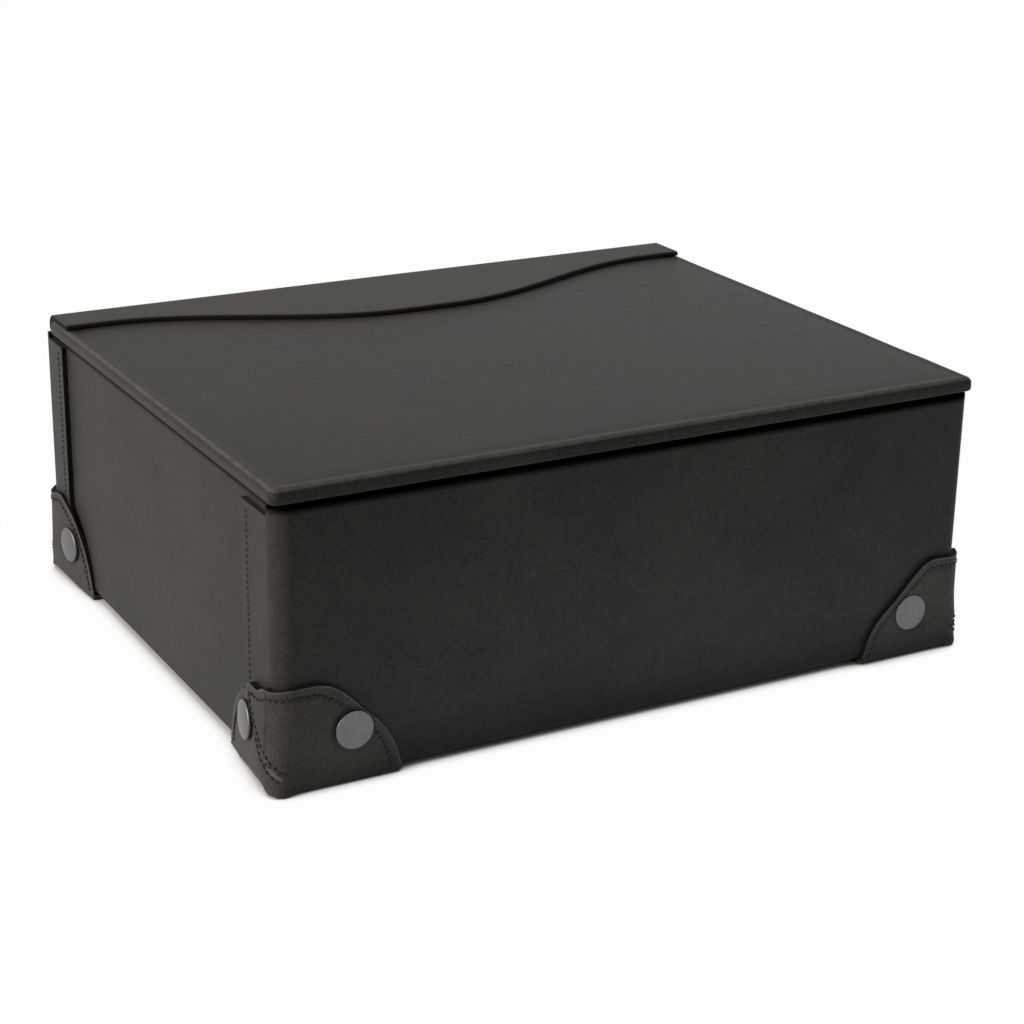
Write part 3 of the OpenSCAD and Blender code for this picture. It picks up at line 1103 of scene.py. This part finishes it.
    def mark_cut(self, mesh, p, turn, edge, z):
        """Gives the cut faces along the outline the second finish."""
        count = len(mesh.polygons)
        corners = np.zeros(len(mesh.loops), np.int32)
        mesh.loops.foreach_get("vertex_index", corners)
        first = np.zeros(count, np.int32)
        mesh.polygons.foreach_get("loop_start", first)
        a, b, c = corners[first], corners[first + 1], corners[first + 2]
        normal = np.cross(p[b] - p[a], p[c] - p[a])
        normal /= np.linalg.norm(normal, axis=1)[:, None] + 1e-12
        way = np.column_stack([-np.cos(turn[a]), -np.sin(turn[a]), np.zeros(count)])
        side_on = np.abs((normal * way).sum(1)) < 0.6
        near = np.max([edge[a], edge[b], edge[c]], axis=0) < 0.7
        cut = side_on & near & (z[a] > 2.6)
        mesh.polygons.foreach_set("material_index", cut.astype(np.int32))


# Stitches


def stitch_mesh():
    """One stitch: a short length of thread, 1 unit long, wide and high, with sunk ends."""
    rings = []
    for i in range(1, 8):
        t = i / 8
        x = -0.5 + t
        size = math.sin(math.pi * t) ** 0.45
        lift = 0.35 * math.sin(math.pi * t) - 0.25
        rings.append(
            [
                (x, 0.5 * size * math.cos(a), lift + 0.5 * size * math.sin(a))
                for a in (math.tau * k / 8 for k in range(8))
            ]
        )
    return lofted(rings)


def stitch_tree():
    """Geometry Nodes that set stitches along the rows of a mesh."""
    tree = bpy.data.node_groups.new("sewn_rows", "GeometryNodeTree")
    face = tree.interface
    face.new_socket("Rows", in_out="INPUT", socket_type="NodeSocketGeometry")
    names = {}
    for name, kind in (
        ("Stitch", "NodeSocketObject"),
        ("Pitch", "NodeSocketFloat"),
        ("Length", "NodeSocketFloat"),
        ("Thickness", "NodeSocketFloat"),
        ("Slant", "NodeSocketFloat"),
        ("Thread", "NodeSocketMaterial"),
    ):
        names[name] = face.new_socket(name, in_out="INPUT", socket_type=kind).identifier
    face.new_socket("Stitches", in_out="OUTPUT", socket_type="NodeSocketGeometry")

    def add(kind, inputs=None, **settings):
        made = tree.nodes.new(kind)
        for key, setting in settings.items():
            setattr(made, key, setting)
        for key, value in (inputs or {}).items():
            if isinstance(value, bpy.types.NodeSocket):
                tree.links.new(value, made.inputs[key])
            else:
                made.inputs[key].default_value = value
        return made

    given = add("NodeGroupInput").outputs
    curve = add("GeometryNodeMeshToCurve", {0: given["Rows"]}).outputs[0]
    out = add("GeometryNodeInputNamedAttribute", {"Name": "out"}, data_type="FLOAT_VECTOR")
    kept = add(
        "GeometryNodeStoreNamedAttribute",
        {"Geometry": curve, "Name": "way_out", "Value": out.outputs[0]},
        data_type="FLOAT_VECTOR",
        domain="POINT",
    ).outputs[0]
    points = add(
        "GeometryNodeCurveToPoints",
        {"Curve": kept, "Length": given["Pitch"]},
        mode="LENGTH",
    )
    way = add("GeometryNodeInputNamedAttribute", {"Name": "way_out"}, data_type="FLOAT_VECTOR")
    turned = add(
        "FunctionNodeAxesToRotation",
        {0: way.outputs[0], 1: points.outputs["Tangent"]},
        primary_axis="Z",
        secondary_axis="X",
    )
    wobble = add("FunctionNodeRandomValue", {2: 0.75, 3: 1.2, "Seed": 4}, data_type="FLOAT")
    lean = add("ShaderNodeMath", {0: given["Slant"], 1: wobble.outputs[1]}, operation="MULTIPLY")
    slanted = add(
        "FunctionNodeAxisAngleToRotation", {"Axis": (0.0, 0.0, 1.0), "Angle": lean.outputs[0]}
    )
    rotation = add(
        "FunctionNodeRotateRotation",
        {0: turned.outputs[0], 1: slanted.outputs[0]},
        rotation_space="LOCAL",
    )
    stretch = add("FunctionNodeRandomValue", {2: 0.86, 3: 1.1, "Seed": 9}, data_type="FLOAT")
    long = add("ShaderNodeMath", {0: given["Length"], 1: stretch.outputs[1]}, operation="MULTIPLY")
    size = add(
        "ShaderNodeCombineXYZ",
        {0: long.outputs[0], 1: given["Thickness"], 2: given["Thickness"]},
    )
    stitch = add("GeometryNodeObjectInfo", {"Object": given["Stitch"]})
    placed = add(
        "GeometryNodeInstanceOnPoints",
        {
            "Points": points.outputs["Points"],
            "Instance": stitch.outputs["Geometry"],
            "Rotation": rotation.outputs[0],
            "Scale": size.outputs[0],
        },
    )
    real = add("GeometryNodeRealizeInstances", {0: placed.outputs[0]})
    dyed = add(
        "GeometryNodeSetMaterial", {"Geometry": real.outputs[0], "Material": given["Thread"]}
    )
    shaded = add("GeometryNodeSetShadeSmooth", {"Geometry": dyed.outputs[0]})
    add("NodeGroupOutput", {0: shaded.outputs[0]})
    return tree, names


def sewn(name, rows):
    """The stitches along rows, each (points, ways out) in metres, as one piece on the box."""
    props = bpy.context.scene.box_stitching
    points, edges, ways = [], [], []
    for line, out in rows:
        start = len(points)
        points += [tuple(p) for p in line]
        ways += [tuple(o) for o in out]
        edges += [(start + i, start + i + 1) for i in range(len(line) - 1)]
    mesh = bpy.data.meshes.new("rows")
    mesh.from_pydata(points, edges, [])
    attribute = mesh.attributes.new("out", "FLOAT_VECTOR", "POINT")
    attribute.data.foreach_set("vector", np.array(ways, np.float32).ravel())
    holder = bpy.data.objects.new("rows", mesh)
    stitch = bpy.data.objects.new("stitch", stitch_mesh())
    for made in (holder, stitch):
        bpy.context.scene.collection.objects.link(made)
    tree, names = stitch_tree()
    sewing = holder.modifiers.new("sewing", "NODES")
    sewing.node_group = tree
    sewing[names["Stitch"]] = stitch
    sewing[names["Pitch"]] = props.pitch
    sewing[names["Length"]] = props.length
    sewing[names["Thickness"]] = props.thickness
    sewing[names["Slant"]] = props.slant
    sewing[names["Thread"]] = finish_of("waxed_thread", thread_finish)
    bpy.context.view_layer.update()
    result = bpy.data.meshes.new_from_object(
        holder.evaluated_get(bpy.context.evaluated_depsgraph_get())
    )
    holder.modifiers.clear()
    for made in (holder, stitch):
        bpy.data.objects.remove(made)
    if not len(result.polygons):
        raise RuntimeError(f"{name} has no stitches")
    return piece(name, result, ())


# Operators


class BOX_OT_carcass(bpy.types.Operator):
    """Gives the boards and the rivets' shanks their finish"""

    bl_idname = "stationery_box.carcass"
    bl_label = "Carcass"

    def execute(self, context):
        board = finish_of("carcass_board", board_finish)
        metal = finish_of("gunmetal", gunmetal_finish)
        finishes = {f"{part}_board": board for part in BOARD_PARTS}
        finishes["rivet_posts"] = metal
        for node, finish in finishes.items():
            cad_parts[node].data.materials.clear()
            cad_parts[node].data.materials.append(finish)
        return {"FINISHED"}


class BOX_OT_linings(bpy.types.Operator):
    """Makes the woven linings and the cover under the base"""

    bl_idname = "stationery_box.linings"
    bl_label = "Linings"

    def execute(self, context):
        props = context.scene.box_inside
        cloth = finish_of("woven_lining", weave_finish, props.colour, props.thread)
        cover = finish_of("base_cloth", weave_finish, (0.02, 0.019, 0.018), props.thread)
        for node, body, name, finish in (
            ("floor_lining", "box", "floor_cloth", cloth),
            ("front_lining", "box", "front_cloth", cloth),
            ("back_lining", "box", "back_cloth", cloth),
            ("left_lining", "box", "left_cloth", cloth),
            ("right_lining", "box", "right_cloth", cloth),
            ("lid_lining", "lid", "lid_cloth", cloth),
            ("base_cover", "box", "base_panel", cover),
        ):
            mesh = softened(merged(node), 0.0002)
            if node not in ("lid_lining", "base_cover", "floor_lining", "back_lining"):
                lowered(mesh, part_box(node)[1].z, context.scene.box_leather.rim_drop, 0.004)
            flat_map(mesh)
            piece(name, mesh, (finish,), body, (node,))
        return {"FINISHED"}


class BOX_OT_walls(bpy.types.Operator):
    """Makes the leather on the front and the sides"""

    bl_idname = "stationery_box.walls"
    bl_label = "Wall leather"

    def execute(self, context):
        props = context.scene.box_leather
        front = softened(merged("front_leather"), props.edge_round)
        mark_raw(front, raw_on_wrap)
        lowered(front, RIM_Z, props.rim_drop, 0.0055)
        finishes = (rolled_leather(), raw_edge(), arris())
        piece("front_hide", front, finishes, "box", ("front_leather",))
        for side in ("left", "right"):
            mesh = softened(merged(f"{side}_leather"), props.edge_round * 0.8)
            lowered(mesh, RIM_Z, props.rim_drop, 0.0055)
            finishes = (rolled_leather(),)
            piece(f"{side}_skin", mesh, finishes, "box", (f"{side}_leather",))
        return {"FINISHED"}


def raw_on_wrap(centre, normal):
    """How squarely a face looks along the leather, for the thick leather's cut edges."""
    on_side = abs(centre.x) > HALF_W - HIDE - 2e-5
    past_corner = abs(centre.y) < HALF_D - CORNER_R * MM + 2e-4
    if on_side and past_corner:
        if normal.z > 0.6:
            return 0
        square = 1 - abs(normal.x)
        return square if square > 0.05 and normal.z > -0.3 else 0
    turned_in = centre.z > RIM_Z - HIDE - 2e-5 and abs(centre.y) < HALF_D - 0.0100
    return 1 if turned_in and normal.z < 0.5 and not on_side else 0


class BOX_OT_hinge(bpy.types.Operator):
    """Makes the back leather, its fold and the flap with the ogee edge, all as one piece"""

    bl_idname = "stationery_box.hinge"
    bl_label = "Hinge leather"

    def execute(self, context):
        props = context.scene.box_leather
        back = softened(merged("back_leather"), props.edge_round)
        mark_raw(back, raw_on_wrap)
        work = bmesh.new()
        work.from_mesh(back)
        for height in TRIM_LEVELS:
            everything = work.verts[:] + work.edges[:] + work.faces[:]
            at, up = (0, 0, height), (0, 0, 1)
            bmesh.ops.bisect_plane(work, geom=everything, plane_co=at, plane_no=up)
        for vertex in work.verts:
            on_side = abs(vertex.co.x) > -WALL_X - 0.0025
            if on_side and vertex.co.y < HALF_D - 0.030:
                trim = smoothly(vertex.co.z, TRIM_LEVELS[0], TRIM_LEVELS[-1])
                vertex.co.y += BACK_TRIM * float(trim)
        work.from_mesh(flap_mesh())
        mesh = bpy.data.meshes.new("work")
        work.to_mesh(mesh)
        work.free()
        mesh = evened(mesh)
        hinge = piece(
            "hinge_hide",
            mesh,
            (leather(), raw_edge(), arris()),
            None,
            ("back_leather", "hinge_flap"),
        )
        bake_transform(hinge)
        return {"FINISHED"}


def flap_mesh():
    """The flap from inside the fold, over the lid's back edge to its ogee edge."""
    back = FLAP_HIGH.y / MM
    top = FLAP_HIGH.z / MM
    hide = HIDE / MM
    half = FLAP_HIGH.x / MM
    rim = RIM_Z / MM
    radius = 5.4
    bend_y, bend_z = back - radius, top - radius
    end_depth, mid_depth, mid_half, curve_half = 25.4, 64.4, 12.0, 148.0

    def depth(x):
        t = min(max((abs(x) - mid_half) / (curve_half - mid_half), 0.0), 1.0)
        return end_depth + (mid_depth - end_depth) * (1 + math.cos(math.pi * t)) / 2

    # Rows across the leather: (outer y, outer z, inner y, inner z, half width)
    tucked = half - 2.2
    rows = [
        (131.0, rim - 1.2, 127.2, rim - 2.0, tucked),
        (130.0, rim - 0.6, 126.75, rim - 1.2, tucked),
        (129.4, rim - 0.27, 126.65, rim - 0.5, tucked),
        (128.95, rim + 0.02, 126.55, rim - 0.05, tucked),
        (128.62, rim + 0.4, 126.35, rim + 0.35, half - 1.0),
        (128.42, rim + 0.9, 126.1, rim + 0.8, half - 0.3),
        (128.32, rim + 1.6, 125.93, rim + 1.5, half),
        (128.3, rim + 2.4, 125.9, rim + 2.4, half),
    ]
    steps = 9
    for i in range(steps + 1):
        a = math.pi / 2 * i / steps
        way = (math.cos(a), math.sin(a))
        rows.append(
            (
                bend_y + radius * way[0],
                bend_z + radius * way[1],
                bend_y + (radius - hide) * way[0],
                bend_z + (radius - hide) * way[1],
                half,
            )
        )
    columns = 140
    thin = 0.35
    grid = []
    for c in range(-1, columns + 2):
        end_cap = c in (-1, columns + 1)
        t = min(max(c, 0), columns) / columns
        share = 2 * t - 1
        section = []
        for oy, oz, iy, iz, width in rows:
            x = share * (width if end_cap else width - thin)
            if end_cap:
                way = Vector((iy - oy, iz - oz)).normalized() * thin
                oy, oz, iy, iz = oy + way.x, oz + way.y, iy - way.x, iz - way.y
            section.append(((x, oy, oz), (x, iy, iz)))
        x = share * (half if end_cap else half - thin)
        edge = back - depth(x)
        shy = thin if end_cap else 0.0
        for y, pull in (
            (bend_y - 6, 0.0),
            (bend_y - 12, 0.0),
            (edge + (bend_y - 12 - edge) * 0.5, 0.0),
            (edge + 2.2, 0.0),
            (edge + 1.3, 0.08),
            (edge + 0.7, 0.3),
            (edge + 0.25, 0.7),
            (edge, 1.3),
        ):
            y = min(y, bend_y - 6)
            p = max(pull, shy)
            section.append(((x, y, top - p), (x, y, top - hide + min(p, 0.4) * 0.5)))
        grid.append(section)
    rows_count = len(grid[0])
    points, index = [], {}
    for c, section in enumerate(grid):
        for r, (outer, inner) in enumerate(section):
            index[c, r, 0] = len(points)
            points.append([v * MM for v in outer])
            index[c, r, 1] = len(points)
            points.append([v * MM for v in inner])
    faces = []
    last = len(grid) - 1
    for c in range(last):
        for r in range(rows_count - 1):
            faces.append(
                (index[c, r, 0], index[c, r + 1, 0], index[c + 1, r + 1, 0], index[c + 1, r, 0])
            )
            faces.append(
                (index[c, r, 1], index[c + 1, r, 1], index[c + 1, r + 1, 1], index[c, r + 1, 1])
            )
        r = rows_count - 1
        faces.append((index[c, r, 0], index[c, r, 1], index[c + 1, r, 1], index[c + 1, r, 0]))
        faces.append((index[c, 0, 0], index[c + 1, 0, 0], index[c + 1, 0, 1], index[c, 0, 1]))
    for c in (0, last):
        for r in range(rows_count - 1):
            quad = (index[c, r, 0], index[c, r, 1], index[c, r + 1, 1], index[c, r + 1, 0])
            faces.append(quad if c == 0 else tuple(reversed(quad)))
    mesh = outward(mesh_of(points, faces))

    def cut(centre, normal):
        ogee = FLAP_HIGH.y - depth(centre.x / MM) * MM
        return 1 if centre.y < ogee + 0.0008 or abs(normal.x) > 0.8 else 0

    mark_raw(mesh, cut)
    return mesh


# The shallow hollow beside the lid's rounded edge, as (distance from the edge, depth), millimetres
LID_HOLLOW = ((3.8, 0.03), (4.8, 0.16), (6.0, 0.24), (7.5, 0.2), (10, 0.1), (14, 0.03))


class BOX_OT_lid(bpy.types.Operator):
    """Makes the leather that covers the lid and is turned in under it"""

    bl_idname = "stationery_box.lid"
    bl_label = "Lid leather"

    def execute(self, context):
        low, high = LID_LOW, LID_HIGH
        props = context.scene.box_leather
        skin, margin = 1.4, 18.0
        under, over, corner = 1.4, 3.0, 4.0
        z0, z1 = low.z / MM, high.z / MM
        profile = [(over, z1 - skin), (skin, z1 - skin - 1.0), (skin, z0 + skin)]
        profile += [(margin, z0 + skin), (margin, z0 + 0.15), (margin - 0.15, z0)]
        profile += [(margin * 0.5, z0), (under + 1.0, z0)]
        profile += arc(under, z0 + under, under, 270, 180, 6)
        profile += arc(over, z1 - over, over, 180, 90, 10)
        profile += [(inset, z1 - sink) for inset, sink in LID_HOLLOW]
        profile += [(margin, z1), (margin + 8.0, z1)]
        rings = [rounded_ring(low, high, corner * MM, inset * MM, z * MM) for inset, z in profile]
        for ring, (inset, z) in zip(rings, profile):
            edge = max(0.0, 1 - inset / 9.0) * props.edge_waves
            for i, (x, y, height) in enumerate(ring):
                wave = noise.noise(Vector((x / 0.05, y / 0.05, 3.0)))
                wave += 0.5 * noise.noise(Vector((x / 0.019, y / 0.019, 8.0)))
                level = min(max((height / MM - z0) / 3.0, 0.0), 1.0)
                inward = Vector((x, y)) * -0.5 * edge * abs(wave) / max(abs(x), abs(y))
                ring[i] = (x + inward.x, y + inward.y, height - 0.5 * edge * abs(wave) * level)
        mesh = evened(outward(lofted(rings)))

        # A pale highlight is painted along the middle of the lid's rounding, on its arris
        highlit = mesh.attributes.new("arris", "FLOAT", "POINT")
        line = z1 - over * (1 - math.sin(math.radians(55)))
        for vertex, value in zip(mesh.vertices, highlit.data):
            x, y, z = vertex.co
            out = max(abs(x) - high.x, abs(y - LID_MID) - LID_REACH)
            value.value = 0.75 * math.exp(-(((z / MM - line) / 0.45) ** 2)) * (out > -0.003)
        finish = finish_of("polished_leather", leather_finish, arris=True, polish=0.1)
        piece("lid_skin", mesh, (finish,), "lid", ("lid_leather",))
        return {"FINISHED"}


class BOX_OT_corners(bpy.types.Operator):
    """Forms the four leather corner protectors"""

    bl_idname = "stationery_box.corners"
    bl_label = "Corner protectors"

    def execute(self, context):
        finish = finish_of("moulded_leather", leather_finish, 1.6, arris=True)
        for corner in CORNERS:
            protector = Protector(*corner)
            name = protector.node.replace("corner", "protector")
            piece(name, protector.mesh(), (finish, raw_edge()), "box", (protector.node,))
        return {"FINISHED"}


class BOX_OT_rivets(bpy.types.Operator):
    """Turns the rivet caps and sets them on the protectors"""

    bl_idname = "stationery_box.rivets"
    bl_label = "Rivet caps"

    def execute(self, context):
        props = context.scene.box_rivets
        low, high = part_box("rivet_caps")
        radius = (high.z - low.z) / 2
        height = high.x - HALF_W - HIDE
        rim = props.rim_round
        shoulder = height - props.dish - rim
        profile = [(radius - 0.0003, -0.0003), (radius, 0.0), (radius, shoulder)]
        profile += arc(radius - rim, shoulder, rim, 0, 78, 6)[1:]
        inner = radius - rim * 1.1
        for i in range(1, 9):
            t = 1 - i / 9
            profile.append((inner * t, height - props.dish * t * t))
        cap = []
        for r, z in profile:
            cap.append(
                [
                    (r * math.cos(a), r * math.sin(a), z)
                    for a in (math.tau * k / props.segments for k in range(props.segments))
                ]
            )
        shape = lofted(cap)
        work = bmesh.new()
        for corner in CORNERS:
            protector = Protector(*corner)
            places, ways = protector.on_face(protector.rivets, lap=False)
            for at, way in zip(places, ways):
                turn = Vector((0, 0, 1)).rotation_difference(Vector(way)).to_matrix().to_4x4()
                copy = shape.copy()
                copy.transform(Matrix.Translation(Vector(at)) @ turn)
                work.from_mesh(copy)
                bpy.data.meshes.remove(copy)
        bmesh.ops.recalc_face_normals(work, faces=work.faces)
        mesh = bpy.data.meshes.new("work")
        work.to_mesh(mesh)
        work.free()
        smooth(mesh, 60.0)
        piece(
            "cap_rivets",
            mesh,
            (finish_of("gunmetal", gunmetal_finish),),
            "box",
            ("rivet_caps",),
        )
        return {"FINISHED"}


class BOX_OT_stitches(bpy.types.Operator):
    """Sews the stitches along the wraps and the protectors"""

    bl_idname = "stationery_box.stitches"
    bl_label = "Stitches"

    def execute(self, context):
        props = context.scene.box_stitching
        wraps = []
        for side in (-1, 1):
            for end, reach, top in ((-1, FRONT_WRAP, 0.1105), (1, BACK_WRAP - BACK_TRIM, 0.1130)):
                y = end * (HALF_D - reach + props.wrap_inset)
                z = np.linspace(top, 0.040, 40)
                line = np.column_stack([np.full(40, side * HALF_W), np.full(40, y), z])
                wraps.append((line, np.tile((side, 0.0, 0.0), (40, 1))))
        sewn("wrap_stitches", wraps)
        for corner in CORNERS:
            protector = Protector(*corner)
            main, beside, far, tack = stitch_rows()
            rows = [protector.on_face(row, lap=True) for row in (main, tack)]
            rows += [protector.on_face(row, lap=False) for row in (beside, far)]
            sewn(protector.node.replace("corner", "stitches"), rows)
        return {"FINISHED"}


class BOX_OT_studio(bpy.types.Operator):
    """Sets the floor, the surroundings, the lamps and the camera"""

    bl_idname = "stationery_box.studio"
    bl_label = "Studio"

    def execute(self, context):
        props = context.scene.box_studio
        scene = context.scene
        scene.view_settings.view_transform = "Standard"

        side = props.floor_size / 2
        floor_mesh = mesh_of(
            [(-side, -side, 0), (side, -side, 0), (side, side, 0), (-side, side, 0)],
            [(0, 1, 2, 3)],
        )
        floor = bpy.data.objects.new("studio_floor", floor_mesh)
        scene.collection.objects.link(floor)
        floor_mesh.materials.append(self.floor_finish())

        self.surroundings(scene, props.surround)
        self.lamp("key_lamp", (-2.5, 0.0, 1.05), (0, 0, 0.08), 1.5, props.key, (1.0, 0.91, 0.8))
        self.lamp("top_lamp", (0.25, 0.75, 1.7), (0, 0, 0.1), 0.7, props.fill, (1.0, 0.78, 0.5))
        place = Vector((0.09, -0.22, 0.002))
        card = self.lamp("bounce_card", place, place + Vector((0, 0, 1)), 0.5, props.card)
        card.data.shape = "RECTANGLE"
        card.data.size_y = 0.12
        card.visible_camera = False
        card.visible_glossy = False

        camera = bpy.data.cameras.new("photo_camera")
        camera.sensor_width = 36.0
        camera.lens = 81.1186
        camera.clip_start, camera.clip_end = 0.05, 50.0
        holder = bpy.data.objects.new("photo_camera", camera)
        holder.rotation_mode = "QUATERNION"
        holder.location = (-0.479911, -0.885088, 0.421101)
        holder.rotation_quaternion = (0.7967895, 0.5509677, -0.1477818, -0.1993030)
        scene.collection.objects.link(holder)
        scene.camera = holder
        return {"FINISHED"}

    def floor_finish(self):
        """Pale paper that shows white, and dark only close under the box."""
        made = Finish("studio_paper")
        fibres = made.noise(0.02, detail=2.0)
        paper = made.node(
            "ShaderNodeBsdfDiffuse",
            {"Color": made.mix(fibres, (0.86, 0.86, 0.86), (0.9, 0.9, 0.9))},
        )
        glow = made.node("ShaderNodeEmission", {"Color": (1.0, 1.0, 1.0, 1.0), "Strength": 1.0})
        open_air = made.node("ShaderNodeAmbientOcclusion", {"Distance": 0.012}, output="AO")
        lit = made.steps(open_air, 0.25, 0.75)
        shader = made.node(
            "ShaderNodeMixShader", {0: made.seen_rays() * (lit * 0.97), 1: paper, 2: glow}
        )
        made.node("ShaderNodeOutputMaterial", {"Surface": shader})
        return made.material

    def surroundings(self, scene, strength):
        world = bpy.data.worlds.new("studio")
        scene.world = world
        world.use_nodes = True
        made = Finish.__new__(Finish)
        made.tree = world.node_tree
        made.tree.nodes.clear()
        seen = made.seen_rays()
        light = made.node(
            "ShaderNodeBackground",
            {"Color": (1.0, 1.0, 1.0, 1.0), "Strength": strength + seen * (1.0 - strength)},
        )
        made.node("ShaderNodeOutputWorld", {"Surface": light})

    def lamp(self, name, place, target, size, power, colour=(1.0, 1.0, 1.0)):
        light = bpy.data.lights.new(name, "AREA")
        light.color = colour
        light.shape = "DISK"
        light.size = size
        light.energy = power
        holder = bpy.data.objects.new(name, light)
        holder.location = place
        way = Vector(target) - Vector(place)
        holder.rotation_mode = "QUATERNION"
        holder.rotation_quaternion = way.to_track_quat("-Z", "Y")
        bpy.context.scene.collection.objects.link(holder)
        return holder


class BOX_PT_maker(bpy.types.Panel):
    """Lists the steps that make the box, and their sizes"""

    bl_idname = "BOX_PT_maker"
    bl_label = "Stationery Box"
    bl_space_type = "VIEW_3D"
    bl_region_type = "UI"
    bl_category = "Stationery Box"

    def draw(self, context):
        layout = self.layout
        for group in GROUPS:
            box = layout.box()
            props = getattr(context.scene, group)
            for name in props.bl_rna.properties.keys():
                if name not in ("rna_type", "name"):
                    box.prop(props, name)
        for step in STEPS:
            layout.operator(step.bl_idname)


GROUPS = {
    "box_leather": BoxLeather,
    "box_corners": BoxCorners,
    "box_stitching": BoxStitching,
    "box_rivets": BoxRivets,
    "box_inside": BoxInside,
    "box_studio": BoxStudio,
}
STEPS = (
    BOX_OT_carcass,
    BOX_OT_linings,
    BOX_OT_walls,
    BOX_OT_hinge,
    BOX_OT_lid,
    BOX_OT_corners,
    BOX_OT_rivets,
    BOX_OT_stitches,
    BOX_OT_studio,
)


def register():
    for group in GROUPS.values():
        bpy.utils.register_class(group)
    for step in STEPS:
        bpy.utils.register_class(step)
    bpy.utils.register_class(BOX_PT_maker)
    for name, group in GROUPS.items():
        setattr(bpy.types.Scene, name, PointerProperty(type=group))


def unregister():
    for name in GROUPS:
        delattr(bpy.types.Scene, name)
    bpy.utils.unregister_class(BOX_PT_maker)
    for step in reversed(STEPS):
        bpy.utils.unregister_class(step)
    for group in reversed(list(GROUPS.values())):
        bpy.utils.unregister_class(group)


def main():
    register()
    bpy.ops.stationery_box.carcass()
    bpy.ops.stationery_box.linings()
    bpy.ops.stationery_box.walls()
    bpy.ops.stationery_box.hinge()
    bpy.ops.stationery_box.lid()
    bpy.ops.stationery_box.corners()
    bpy.ops.stationery_box.rivets()
    bpy.ops.stationery_box.stitches()
    bpy.ops.stationery_box.studio()
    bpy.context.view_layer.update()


if __name__ == "__main__":
    main()
